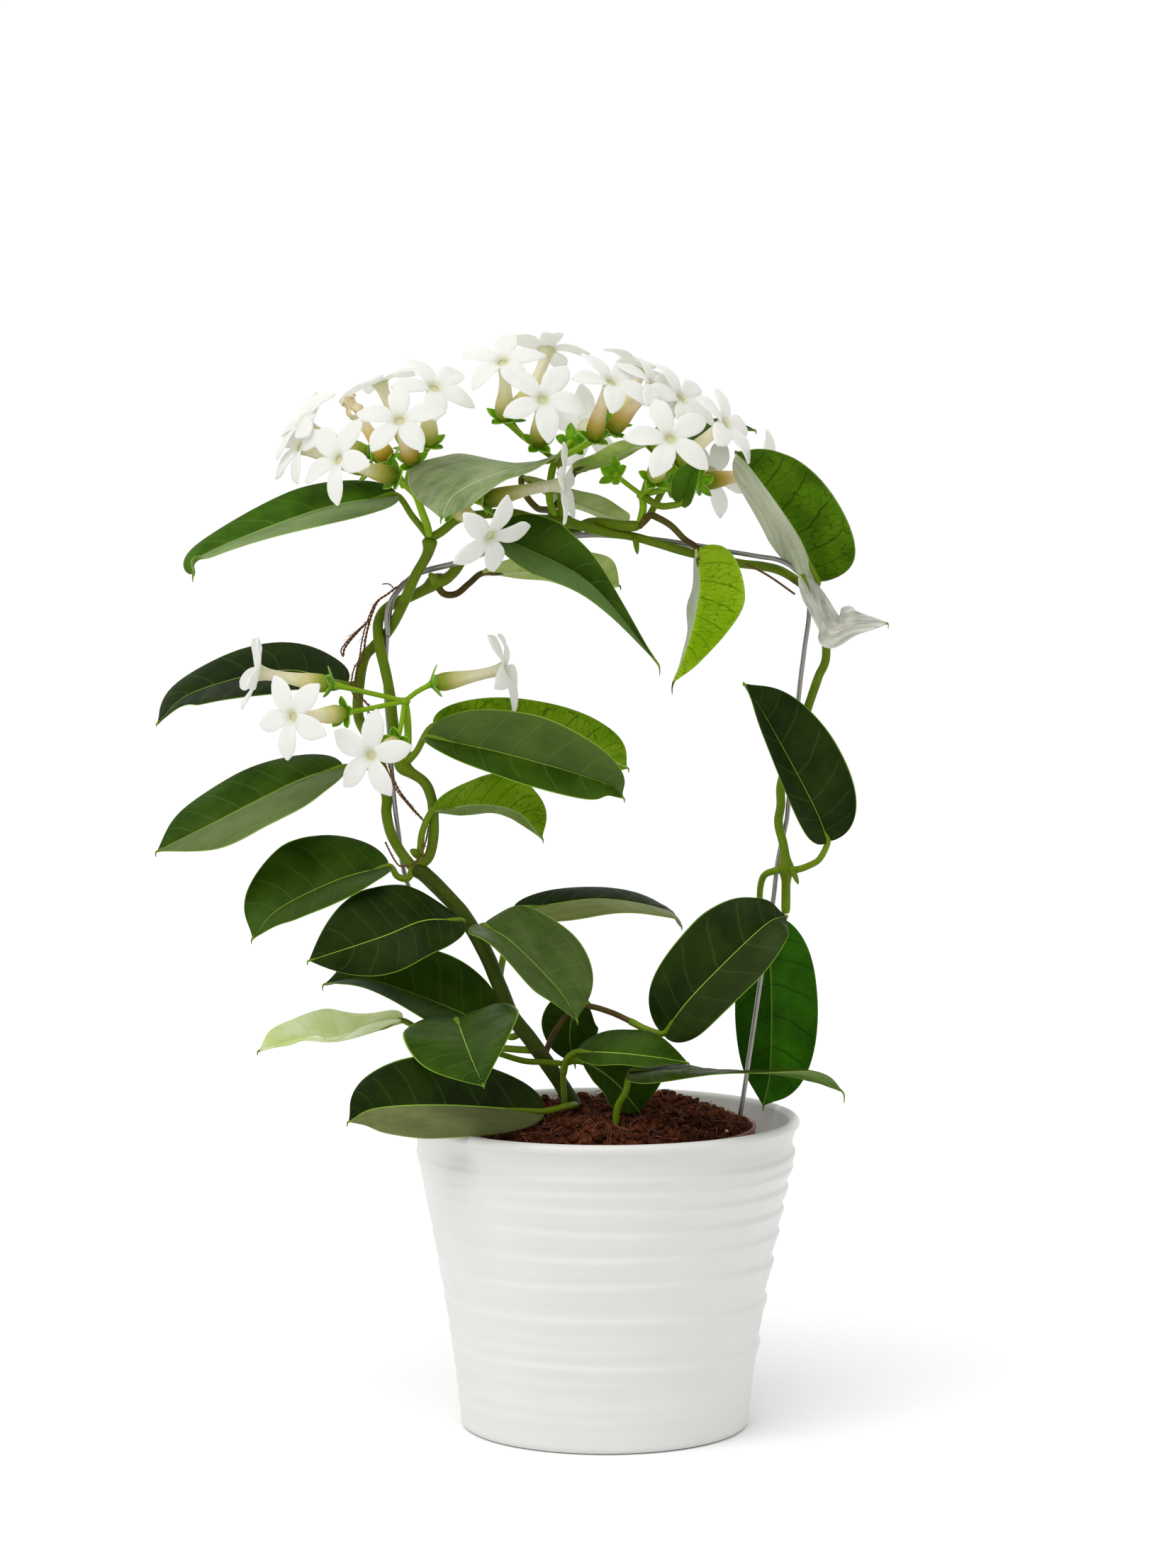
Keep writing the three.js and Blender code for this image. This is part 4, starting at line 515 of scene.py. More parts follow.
def make_room():
    """A bright backdrop behind, a dimmer room in front and a white band at the horizon."""
    world = bpy.data.worlds.new("studio")
    bpy.context.scene.world = world
    world.use_nodes = True
    nodes, links = world.node_tree.nodes, world.node_tree.links
    parts = nodes.new("ShaderNodeSeparateXYZ")
    spread = range_node(nodes, ROOM_SPREAD, ROOM_LIGHT, BACKDROP_LIGHT)
    horizon = range_node(nodes, HORIZON_BAND, BACKDROP_LIGHT, 0.0)
    brighter = nodes.new("ShaderNodeMath")
    brighter.operation = "MAXIMUM"
    links.new(nodes.new("ShaderNodeTexCoord").outputs["Generated"], parts.inputs[0])
    links.new(parts.outputs["Y"], spread.inputs["Value"])
    links.new(parts.outputs["Z"], horizon.inputs["Value"])
    links.new(spread.outputs[0], brighter.inputs[0])
    links.new(horizon.outputs[0], brighter.inputs[1])
    links.new(brighter.outputs[0], nodes["Background"].inputs["Strength"])
    nodes["Background"].inputs["Color"].default_value = (1, 1, 1, 1)


def make_light():
    make_room()
    sun = bpy.data.lights.new("overhead", "SUN")
    sun.energy = OVERHEAD_LIGHT
    sun.angle = math.radians(OVERHEAD_SPREAD)
    linked("overhead", sun).rotation_euler = [math.radians(turn) for turn in OVERHEAD_TURN]
    for row in SOFTBOXES:
        softbox(*row)
    bpy.context.scene.view_settings.view_transform = "Standard"


def make_floor():
    mesh = bpy.data.meshes.new("floor")
    r = FLOOR_REACH
    mesh.from_pydata([(-r, -r, 0), (r, -r, 0), (r, r, 0), (-r, r, 0)], [], [(0, 1, 2, 3)])
    mesh.materials.append(floor_finish())
    linked("floor", mesh)


# ------------------------------------------------------------ curves
def smooth_path(points, shares):
    """Points of a smooth curve through the points, at shares from 0 to 1 of its spans."""
    known = np.array(points, float)
    known = np.vstack([2 * known[0] - known[1], known, 2 * known[-1] - known[-2]])
    place = np.clip(np.asarray(shares, float), 0, 1) * (len(points) - 1)
    span = np.minimum(place.astype(int), len(points) - 2)
    t = (place - span)[:, None]
    a, b, c, d = (known[span + k] for k in range(4))
    return 0.5 * (
        2 * b + (c - a) * t + (2 * a - 5 * b + 4 * c - d) * t**2 + (3 * b - a - 3 * c + d) * t**3
    )


def unit(vectors):
    vectors = np.asarray(vectors, float)
    length = np.linalg.norm(vectors, axis=-1, keepdims=True)
    return vectors / np.maximum(length, 1e-9)


def around(sides):
    """Angles of the corners of a ring."""
    return np.linspace(0, 2 * math.pi, sides, endpoint=False)


def frames_along(path):
    """Two axes square to a path at each of its points, carried along without twist."""
    tangents = unit(np.gradient(path, axis=0))
    first = np.cross(tangents[0], UP)
    if np.linalg.norm(first) < 0.2:
        first = np.cross(tangents[0], AWAY)
    across = [unit(first)]
    for tangent in tangents[1:]:
        across.append(unit(across[-1] - tangent * (across[-1] @ tangent)))
    across = np.array(across)
    return across, np.cross(tangents, across)


def smoothstep(low, high, value):
    t = np.clip((value - low) / (high - low), 0, 1)
    return t * t * (3 - 2 * t)


def bell(distance, width):
    """1 at no distance, falling smoothly towards nothing beyond the width."""
    return np.exp(-((distance / width) ** 2))


def table_curve(table, shares):
    """Columns of a table whose first column is a share, read smoothly at the shares."""
    table = np.array(table, float)
    knots = np.interp(shares, table[:, 0], np.linspace(0, 1, len(table)))
    return smooth_path(table[:, 1:], knots)


def stations(count, ease):
    """Shares from 0 to 1 that lie closer together at both ends, the more so for a high ease."""
    even = np.linspace(0, 1, count)
    return (1 - ease) * even + ease * (1 - np.cos(math.pi * even)) / 2


def marks_of(values):
    """Marks for a skin that needs only one value at each row."""
    values = np.asarray(values, float)
    return np.stack([values, values * 0, values * 0], 1)


# ------------------------------------------------------------ meshes
def inside_box(points):
    """Draws in the last millimetres of a piece that would stand proud of the CAD box."""
    for side, limits in ((1, cad_high), (-1, cad_low)):
        for axis in range(3):
            edge = side * limits[axis] / MM
            reach = side * points[:, axis]
            proud = reach.max() - edge
            if proud > 0.001:
                start = edge - DRAW_IN
                drawn = start + (reach - start) * DRAW_IN / (DRAW_IN + proud)
                points[:, axis] = side * np.where(reach > start, drawn, reach)
    return points


class Piece:
    """Collects closed skins in millimetres and turns them into one mesh object.

    Each point has three marks, its place, which the finishes read.
    """

    def __init__(self):
        self.vertices = []
        self.faces = []
        self.finishes = []
        self.places = []
        self.count = 0

    def add(self, vertices, faces, finishes, places):
        """Adds one closed skin, and turns its faces out if they look in."""
        corners = np.array([[face[0], *pair] for face in faces for pair in zip(face[1:], face[2:])])
        a, b, c = (vertices[corners[:, k]] for k in range(3))
        if (a * np.cross(b, c)).sum() < 0:
            faces = [face[::-1] for face in faces]
        self.faces += [tuple(self.count + i for i in face) for face in faces]
        self.vertices.append(vertices)
        self.finishes += finishes
        self.places.append(places)
        self.count += len(vertices)

    def sweep(self, rings, places, start=None, end=None, finish_of=lambda j: 0):
        """Adds a skin of rings of points. start and end are (point, place) of closing tips."""
        rings = np.asarray(rings, float)
        count, sides = rings.shape[:2]
        vertices = rings.reshape(-1, 3)
        places = np.asarray(places, float).reshape(-1, 3)
        faces, finishes = [], []
        for i in range(count - 1):
            low, high = i * sides, (i + 1) * sides
            for j in range(sides):
                k = (j + 1) % sides
                faces.append((low + j, low + k, high + k, high + j))
                finishes.append(finish_of(j))
        for tip, first, way in ((start, 0, 1), (end, (count - 1) * sides, -1)):
            if tip is None:
                tip = (vertices[first:first + sides].mean(0), places[first:first + sides].mean(0))
            vertices = np.vstack([vertices, tip[0]])
            places = np.vstack([places, tip[1]])
            for j in range(sides):
                fan = (len(vertices) - 1, first + (j + 1) % sides, first + j)
                faces.append(fan[::way])
                finishes.append(finish_of(j))
        self.add(vertices, faces, finishes, places)

    def bar(self, path, radii, sides=12, finish=0, places=None):
        """Adds a round bar along a path; radii holds its radius at each point."""
        path = np.asarray(path, float)
        radii = np.broadcast_to(np.asarray(radii, float), (len(path),))
        across, up = frames_along(path)
        angle = around(sides)
        rings = (
            path[:, None]
            + across[:, None] * (radii[:, None] * np.cos(angle))[..., None]
            + up[:, None] * (radii[:, None] * np.sin(angle))[..., None]
        )
        if places is None:
            places = marks_of(np.linspace(0, 1, len(path)))
        places = np.repeat(places[:, None], sides, 1)
        self.sweep(rings, places, finish_of=lambda j: finish)

    def make(self, name, finishes, node):
        """Makes the object, in metres, hangs it under the root body and hides the CAD node it stands for."""
        mesh = bpy.data.meshes.new(name)
        mesh.from_pydata((inside_box(np.vstack(self.vertices)) * MM).tolist(), [], self.faces)
        attribute = mesh.attributes.new("place", "FLOAT_VECTOR", "POINT")
        attribute.data.foreach_set("vector", np.vstack(self.places).astype(np.float32).ravel())
        for finish in finishes:
            mesh.materials.append(FINISHES[finish])
        mesh.polygons.foreach_set("material_index", self.finishes)
        mesh.polygons.foreach_set("use_smooth", [True] * len(self.faces))
        mesh.update()
        item = linked(name, mesh)
        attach(item, "root")
        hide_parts(node)


def rough(point, scale, depth=3):
    """Smooth noise from about -1 to 1 at a point, the same each run, in bumps about scale wide."""
    return noise.fractal(Vector(point) / scale, 0.6, 2.0, depth)


# ------------------------------------------------------------ leaves
def blade_profile(leaf, u):
    """Half width of a blade as a share of its widest."""
    rise = np.sqrt(np.clip(1 - (1 - np.minimum(u, leaf.widest) / leaf.widest) ** 2, 0, 1))
    share = np.clip((u - leaf.widest) / (1 - leaf.widest), 0, 1)
    fall = np.clip(1 - share**leaf.taper, 0, 1) ** TIP_DRAW
    return np.where(u < leaf.widest, rise, fall)


def blade_surface(leaf, us, vs):
    """Middle surface of a blade, the normal of its flat frame and its half width in mm.

    us are shares along the rib, and vs are shares of the half width from margin to margin.
    """
    us = np.asarray(us, float)
    centre = smooth_path(leaf.rib, us)
    ahead = smooth_path(leaf.rib, np.minimum(1, us + 1e-3))
    behind = smooth_path(leaf.rib, np.maximum(0, us - 1e-3))
    along = unit(ahead - behind)
    side = unit(np.cross(along, AWAY))
    face = np.cross(along, side)
    roll = np.radians(leaf.roll + leaf.twist * (us - 0.5))[:, None]
    lateral = side * np.cos(roll) + face * np.sin(roll)
    normal = face * np.cos(roll) - side * np.sin(roll)
    fold = math.radians(leaf.fold)
    shape = blade_profile(leaf, us)[:, None]
    u = us[:, None]
    v = np.asarray(vs, float)[None, :]
    out = np.abs(v)
    reach = out * shape * np.where(v < 0, *leaf.halves)
    turn = np.where(v > 0, 0.13, 0.39)
    wave = leaf.wave * v**2 * shape * np.sin(2 * math.pi * (2 * u + turn))
    ear = BASE_EAR * out**1.5 * bell(u, EAR_REACH) * np.sqrt(shape)
    veins = np.cos(2 * math.pi * (SIDE_VEINS * u - VEIN_LEAN * out**1.3))
    quilt = QUILT * out * (1 - out) * 4 * shape * veins
    lift = reach * math.sin(fold) - MARGIN_CURL * reach * out + wave - quilt
    points = (
        centre[:, None]
        + lateral[:, None] * (np.sign(v) * reach * math.cos(fold))[..., None]
        + normal[:, None] * lift[..., None]
        - along[:, None] * ear[..., None]
    )
    return points, normal, np.sign(v) * reach


def surface_normals(points, facing):
    """Unit normals of a grid of points, on the side that facing looks to."""
    normals = unit(np.cross(np.gradient(points, axis=0), np.gradient(points, axis=1)))
    normals[(normals * facing).sum(-1) < 0] *= -1
    return normals


def plate(piece, surface, facing, thickness, places, groove=0.0, keel=0.0, finishes=(0, 0)):
    """Adds a thin leathery plate with a round margin round a middle surface.

    Its first and last row close to a point. groove sinks the upper face along the rib and keel
    raises the lower face there, in mm, over about 1 mm.
    """
    middle = surface.shape[1] // 2
    tips = [(surface[i, middle], places[i, middle]) for i in (0, -1)]
    surface, places = surface[1:-1], places[1:-1]
    normals = surface_normals(surface, facing)
    body = 0.5 * thickness * np.sqrt(np.clip(1 - np.abs(places[..., 2]) ** 7, 0, 1))
    across = np.abs(places[..., 1]) * 100
    upper = surface + normals * (body - groove * bell(across, GROOVE_REACH))[..., None]
    lower = surface - normals * (body + keel * bell(across, KEEL_REACH))[..., None]
    last = surface.shape[1] - 1
    piece.sweep(
        np.concatenate([upper, lower[:, -2:0:-1]], 1), np.concatenate([places, places[:, -2:0:-1]], 1),
        *tips, finish_of=lambda j: finishes[0 if j < last else 1],
    )


def grid_places(along, across, share):
    """Marks of a plate: share along it, decimetres across it and share across it."""
    along, across, share = np.broadcast_arrays(along[:, None], across, share[None, :])
    return np.stack([along, across / 100, share], -1)


def add_blade(piece, leaf):
    """Adds a leaf's blade: quilted between its side veins, with a sunk rib and a keel below."""
    us = stations(BLADE_ROWS + 2, 0.85)
    half = np.array(BLADE_COLUMNS)
    vs = np.concatenate([-half[::-1], [0], half])
    surface, normal, reach = blade_surface(leaf, us, vs)
    keel = (0.15 + 0.65 * (1 - us) ** 0.8)[1:-1, None]
    plate(piece, surface, normal[1:-1, None], BLADE_THICKNESS, grid_places(us, reach, vs),
          RIB_GROOVE, keel, (0, 1))


def add_petiole(piece, leaf):
    """Adds the leaf stalk, which thickens at the stem and runs out into the keel."""
    centre, normal, _ = blade_surface(leaf, [0.1, 0.2], [0])
    roots = centre[:, 0] - normal * np.array([[0.45], [0.3]])
    route = [*leaf.petiole, leaf.rib[0], *roots]
    share = np.linspace(0, 1, 6 * len(route))
    radii = PETIOLE_RADIUS * (1.22 - 0.3 * share - 0.62 * smoothstep(0.72, 1, share))
    piece.bar(smooth_path(route, share), radii, finish=2)


def add_point(piece, leaf):
    """Adds the short drawn-out point that hangs from a leaf's tip."""
    centre = blade_surface(leaf, [0.93, 0.97, 1.0], [0])[0][:, 0]
    tip = centre[2]
    ahead = unit(tip - centre[0])
    bend = tip + (0.5 * ahead - 0.45 * UP) * leaf.point * 0.6
    route = [centre[1], tip, bend, tip + (0.3 * ahead - UP) * leaf.point]
    share = np.linspace(0, 1, 10)
    piece.bar(smooth_path(route, share), 0.14 + 0.42 * (1 - share) ** 0.8, sides=8, finish=2)


def make_leaf(leaf):
    piece = Piece()
    add_blade(piece, leaf)
    add_petiole(piece, leaf)
    add_point(piece, leaf)
    piece.make(leaf.name + "_blade", leaf_finishes(leaf), leaf.piece or leaf.name)


# ------------------------------------------------------------ vine, hoop and twine
def stem_path(points, step=STEM_STEP):
    """A fine path through the points, its length at each in mm, and marks in decimetres."""
    path = smooth_path(points, np.linspace(0, 1, len(points) * 10))
    length = np.concatenate([[0], np.cumsum(np.linalg.norm(np.diff(path, axis=0), axis=1))])
    even = np.linspace(0, length[-1], max(8, int(length[-1] / step)))
    path = np.stack([np.interp(even, length, path[:, k]) for k in range(3)], 1)
    return path, even, marks_of(even / 100)


def stem_radii(path, radius, nodes, seed):
    """Radius along a stem: a little uneven, and swollen at its nodes."""
    radii = np.array([radius * (1 + 0.05 * rough(p + seed * 31, 14)) for p in path])
    for node in nodes:
        distance = np.linalg.norm(path - np.array(node), axis=1)
        radii += (NODE_RADIUS - radius) * bell(distance, NODE_REACH)
    return radii


def add_stem(piece, points, radius, nodes=(), seed=0, sides=12):
    path, _, places = stem_path(points)
    radii = stem_radii(path, radius, nodes, seed)
    radii[:2] *= (0.7, 0.95)
    radii[-2:] *= (0.95, 0.7)
    piece.bar(path, radii, sides, places=places)


def add_bud(piece, root, facing, length, radius):
    """Adds a small pointed bud or a stub of a cut stalk."""
    share = np.linspace(0, 1, 7)
    path = np.array(root, float) + unit(facing) * (share * length)[:, None]
    piece.bar(path, radius * np.sqrt(np.clip(1 - share**2, 0.02, 1)), sides=10)


def make_stems():
    for seed, (name, (radius, points, nodes)) in enumerate(STEMS.items()):
        piece = Piece()
        add_stem(piece, points, radius, nodes, seed, sides=16)
        for bud in STEM_BUDS.get(name, []):
            add_bud(piece, *bud)
        bark = "old_stem" if name == "stem_base" else "green_stem"
        piece.make(name + "_bark", [bark], name)


def make_shoots():
    for name, routes in SHOOTS.items():
        piece = Piece()
        for seed, route in enumerate(routes):
            add_stem(piece, route, SHOOT_RADIUS, seed=seed)
        bark = "brown_stem" if name == "shoot_brown" else "green_stem"
        piece.make(name + "_stalks", [bark], name)
        make_leaf(SHOOT_LEAVES[name])


def make_wires():
    for name, points in WIRES.items():
        piece = Piece()
        path, _, places = stem_path(points, WIRE_STEP)
        piece.bar(path, WIRE_RADIUS, sides=16, places=places)
        piece.make(name + "_steel", ["steel_wire"], name)


def add_twine(piece, points, radius):
    """Adds a twine of two strands laid round each other, with a few loose hairs."""
    path, distance, places = stem_path(points, TWINE_STEP)
    across, up = frames_along(path)
    for phase in (0, math.pi):
        angle = (2 * math.pi * distance / (TWINE_LAY * radius) + phase)[:, None]
        strand = path + 0.5 * radius * (across * np.cos(angle) + up * np.sin(angle))
        piece.bar(strand, 0.56 * radius, sides=7, places=places)
    hairs = random.Random(len(points))
    for _ in range(int(distance[-1] / HAIR_SPACING)):
        i = hairs.randrange(3, len(path) - 4)
        out = unit([hairs.uniform(-1, 1) for _ in range(3)])
        reach = hairs.uniform(*HAIR_LENGTHS)
        tip = path[i] + out * reach + unit(path[i + 3] - path[i]) * reach
        hair = [path[i], (path[i] + tip) / 2 + out * 0.4, tip]
        hair = smooth_path(hair, np.linspace(0, 1, len(HAIR_RADII)))
        piece.bar(hair, HAIR_RADII, sides=4)


def make_twine():
    piece = Piece()
    for route in TWINE:
        add_twine(piece, route, TWINE_RADIUS)
        share = np.linspace(0, 1, len(route))[:, None]
        add_twine(piece, np.array(route) + TWINE_SLACK * np.sin(math.pi * share), SLACK_RADIUS)
    add_twine(piece, TWINE_LOOP, LOOP_RADIUS)
    for end in TWINE_ENDS:
        add_twine(piece, end, END_RADIUS)
    piece.make("twine_strands", ["twine"], "twine")
    tendril = Piece()
    path, _, places = stem_path(TENDRIL, TENDRIL_STEP)
    tendril.bar(path, TENDRIL_RADIUS, sides=8, places=places)
    tendril.make("dry_tendril", ["twine"], "twine")


# ------------------------------------------------------------ flowers
def cross_axes(direction):
    """Two unit vectors square to a direction: the second points as far up as it can."""
    across = unit(np.cross(direction, UP))
    return across, np.cross(across, direction)


def radial_plate(piece, centre, axis, degrees, shape, bend, thickness, rows, columns, start_mark,
                 wrap, groove=0.0, finish=0):
    """Adds a petal lobe or a sepal that spreads from an axis.

    shape is its table of share, distance, height and half width. bend(share, v, half) gives
    the sideways shift and the rise of a point, in mm. Nearer the axis than wrap it lies round
    the tube, and further out it is flat.
    """
    share = stations(rows + 2, 0.5)
    distance, height, half = table_curve(shape, share).T
    v = np.linspace(-1, 1, columns)
    v = np.sign(v) * np.sin(np.abs(v) * math.pi / 2)
    far = distance[:, None]
    wide = np.maximum(half, 0.05)[:, None]
    turn = np.clip(v * (wide / far), -1.1, 1.1)
    flat = smoothstep(*wrap, far)
    out = far * np.cos(turn) * (1 - flat) + far * flat
    side = far * np.sin(turn) * (1 - flat) + v * wide * flat
    shift, rise = bend(share[:, None], v[None, :], wide)
    angle = math.radians(degrees)
    right, top = cross_axes(axis)
    outward = right * math.sin(angle) + top * math.cos(angle)
    sideways = right * math.cos(angle) - top * math.sin(angle)
    surface = (
        centre
        + outward * out[..., None]
        + sideways * (side + shift)[..., None]
        + axis * (height[:, None] + rise)[..., None]
    )
    slope = np.gradient(height) / np.maximum(np.gradient(distance), 0.05)
    facing = unit(axis - outward * np.clip(slope, -4, 4)[:, None])[1:-1, None]
    plate(piece, surface, facing, thickness, grid_places(start_mark + share, side, v), groove,
          finishes=(finish, finish))


def tube_path(flower):
    """Centre line of a corolla's tube from its foot to the throat, its shares and its facing."""
    centre = np.array(flower.centre, float)
    calyx = np.array(flower.calyx, float)
    facing = unit(flower.facing)
    foot = calyx + unit(centre - calyx) * TUBE_FOOT
    control = centre - facing * 0.4 * np.linalg.norm(centre - calyx)
    share = np.array([row[0] for row in TUBE_SHAPE])
    share = np.interp(np.linspace(0, 1, 30), np.linspace(0, 1, len(share)), share)
    s = share[:, None]
    path = (1 - s) ** 2 * foot + 2 * s * (1 - s) * control + s**2 * centre
    return path, share, facing


def add_tube(piece, flower):
    """Adds a flower's ribbed tube, which ends in a funnel that closes inside the throat."""
    path, share, facing = tube_path(flower)
    centre = np.array(flower.centre, float)
    marks, funnel, depths = zip(*THROAT_SHAPE)
    path[-1] = centre - facing * 0.55
    path = np.vstack([path, [centre + facing * depth for depth in depths]])
    radii = np.concatenate([table_curve(TUBE_SHAPE, share)[:, 0], funnel])
    places = marks_of([*share, *marks])
    tangents = unit(np.gradient(path, axis=0))
    tangents[-len(THROAT_SHAPE) - 1:] = facing
    axes = [cross_axes(facing)]
    for tangent in tangents[::-1][1:]:
        last = axes[-1][0]
        turned_axis = unit(last - tangent * (last @ tangent))
        axes.append((turned_axis, np.cross(turned_axis, tangent)))
    turn = around(TUBE_SIDES)
    angle = (math.radians(flower.phase) + turn)[:, None]
    ribs = (1 + 0.035 * np.cos(LOBES * turn))[:, None]
    rings = [
        point + radius * ribs * (right * np.sin(angle) + top * np.cos(angle))
        for (right, top), point, radius in zip(axes[::-1], path, radii)
    ]
    piece.sweep(rings, np.repeat(places[:, None], TUBE_SIDES, 1))
    return centre, facing


def lobe_bend(draw, flower, number):
    """How one petal lobe curls back, crowns, tilts, sways and folds along its middle."""
    curl = draw.uniform(0.3, 2.2)
    crown = draw.uniform(0.6, 1.7) * draw.choice([1, 1, 1, -0.8])
    tilt = draw.uniform(-0.16, 0.22)
    sway = draw.uniform(-1.3, 1.3)
    fold = draw.uniform(0.15, 0.45)

    def bend(share, v, half):
        outer = smoothstep(0.25, 1.0, share)
        rise = (flower.cup - curl) * outer**2 + flower.spread * smoothstep(0.1, 0.8, share)
        rise = rise - crown * v**2 * outer * (1.1 - outer) * 1.6
        rise = rise + 0.5 * v * smoothstep(0.15, 0.3, share) * (1 - smoothstep(0.45, 0.75, share))
        rise = rise + tilt * v * half * outer
        rise = rise - fold * bell(v, 0.22) * smoothstep(0.2, 0.45, share) * (1 - outer**4)
        ripple = 0.22 * np.sin(7 * share + 3 * number + 4 * v) * v**2 * outer
        return sway * outer**2 + 0 * v, rise + ripple

    return bend


def add_corolla(piece, flower, seed):
    """Adds a flower: its tube and five waxy lobes. A bud's lobes are short and stand up."""
    draw = random.Random(seed)
    centre, facing = add_tube(piece, flower)
    scale = flower.lobe / LOBE_LENGTH
    for number in range(LOBES):
        stretch = scale * draw.uniform(0.96, 1.03)
        width = draw.uniform(0.94, 1.06) * min(1, scale * 1.6)
        bend = lobe_bend(draw, flower, number)
        shape = []
        for share, distance, height, half in LOBE_SHAPE:
            if share > 0.25:
                distance = max(distance * stretch, 1.6)
            distance *= 1 - 0.02 * flower.cup * share
            if flower.spread:
                distance = 0.55 * distance + 0.9
                half *= 0.8
            shape.append((share, distance, height, half * width))
        degrees = flower.phase + 360 / LOBES * number + draw.uniform(-3, 3)
        radial_plate(piece, centre, facing, degrees, shape, bend, LOBE_THICKNESS, LOBE_ROWS,
                     LOBE_COLUMNS, 1.0, wrap=LOBE_WRAP)


def make_flowers():
    named = [(f"flower_{side}_{flower.name}", flower) for side in FLOWERS for flower in FLOWERS[side]]
    for seed, (name, flower) in enumerate(named):
        piece = Piece()
        add_corolla(piece, flower, seed)
        piece.make(name + "_corolla", ["petal_" + flower.tube], flower.piece or name)


def add_calyx(piece, point, axis, seed, width):
    """Adds five pointed sepals round a flower's foot."""
    draw = random.Random(seed)
    for number in range(LOBES):
        rise = draw.uniform(-0.4, 1.0)
        stretch = draw.uniform(0.92, 1.02)
        cup = draw.uniform(0.2, 0.55)

        def bend(share, v, half):
            return 0 * share * v, rise * share**2 + cup * v**2 * half / 1.8

        shape = [
            (share, distance * stretch if share > 0.3 else distance, height, half * width)
            for share, distance, height, half in SEPAL_SHAPE
        ]
        degrees = 360 * number / LOBES + draw.uniform(-5, 5)
        radial_plate(piece, point, axis, degrees, shape, bend, SEPAL_THICKNESS, SEPAL_ROWS,
                     SEPAL_COLUMNS, 0.0, wrap=SEPAL_WRAP, groove=SEPAL_GROOVE, finish=1)


def pedicel_ends(side):
    """Where a flower head's pedicels end, the way each calyx faces and its width."""
    ends = []
    for flower in FLOWERS[side]:
        calyx = np.array(flower.calyx, float)
        ends.append((calyx, unit(np.array(flower.centre) - calyx), 1.0))
    for calyx, facing in EMPTY_CALYXES.get(side, []):
        ends.append((np.array(calyx, float), unit(facing), EMPTY_CALYX_WIDTH))
    return ends


def make_umbels():
    for side, route in UMBELS.items():
        piece = Piece()
        hub = np.array(route[-1], float)
        add_stem(piece, route, PEDUNCLE_RADIUS, seed=3)
        share = np.linspace(-1, 1, 9)[1:-1]
        piece.bar(hub + UP * KNOB_HALF_HEIGHT * share[:, None], KNOB_RADIUS * np.sqrt(1 - share**2))
        for seed, (point, axis, width) in enumerate(pedicel_ends(side)):
            middle = hub + 0.6 * (point - hub) - 1.5 * axis
            path = smooth_path([hub, middle, point], np.linspace(0, 1, 16))
            path = np.vstack([path, point + axis * 0.5])
            radii = [PEDICEL_RADIUS] * (len(path) - len(PEDICEL_END)) + PEDICEL_END
            piece.bar(path, radii)
            add_calyx(piece, point, axis, seed + 17, width)
        name = "umbel_" + side
        piece.make(name + "_stalks", ["pedicel", "sepal"], name)
        if side in BRACTS:
            make_leaf(BRACTS[side])


# ------------------------------------------------------------ pots and peat
def pot_radius(z):
    share = np.maximum(z, 0) / POT_SHOULDER_HEIGHT
    return POT_FOOT_RADIUS + (POT_SHOULDER_RADIUS - POT_FOOT_RADIUS) * share**POT_FLARE_POWER


def add_turned(piece, profile, sides, wobble=None):
    """Adds a turned body from (radius, height) rows that start and end on the axis."""
    profile = np.asarray(profile, float)
    angle = around(sides)
    radius = profile[1:-1, 0, None] + 0 * angle
    height = profile[1:-1, 1, None] + 0 * angle
    if wobble is not None:
        radius = radius + wobble(height, angle[None, :])
    rings = np.stack([radius * np.cos(angle), radius * np.sin(angle), height], -1)
    places = marks_of(np.linspace(0, 1, len(profile) - 2))
    start = (np.array([0, 0, profile[0, 1]]), places[0])
    end = (np.array([0, 0, profile[-1, 1]]), places[-1])
    piece.sweep(rings, np.repeat(places[:, None], sides, 1), start, end)


def thrown_relief(height, angle):
    """Throwing ridges: stepped, a little aslant and fading towards the foot."""
    relief = 0.0
    for number, ridge in enumerate(RIDGES):
        slant = 0.8 * np.sin(angle + 1.7 * number) + 0.35 * np.sin(3 * angle + number)
        offset = height - ridge - slant
        rise = RIDGE_RISE - 0.05 * number + RIDGE_UNEVEN * np.cos(angle + 0.3)
        above, below = np.maximum(offset, 0), np.minimum(offset, 0)
        relief = relief + rise * bell(above, RIDGE_ABOVE) * bell(below, RIDGE_BELOW)
    for number, ridge in enumerate(FAINT_RIDGES):
        slant = 0.9 * np.sin(angle + 2.3 * number)
        relief = relief + FAINT_RISE * bell(height - ridge - slant, FAINT_REACH)
    fade = smoothstep(*RIDGES_START, height) * (1 - smoothstep(*RIDGES_END, height))
    hollow_height, hollow, hollow_reach = LIP_HOLLOW
    return relief * fade - hollow * bell(height - hollow_height, hollow_reach)


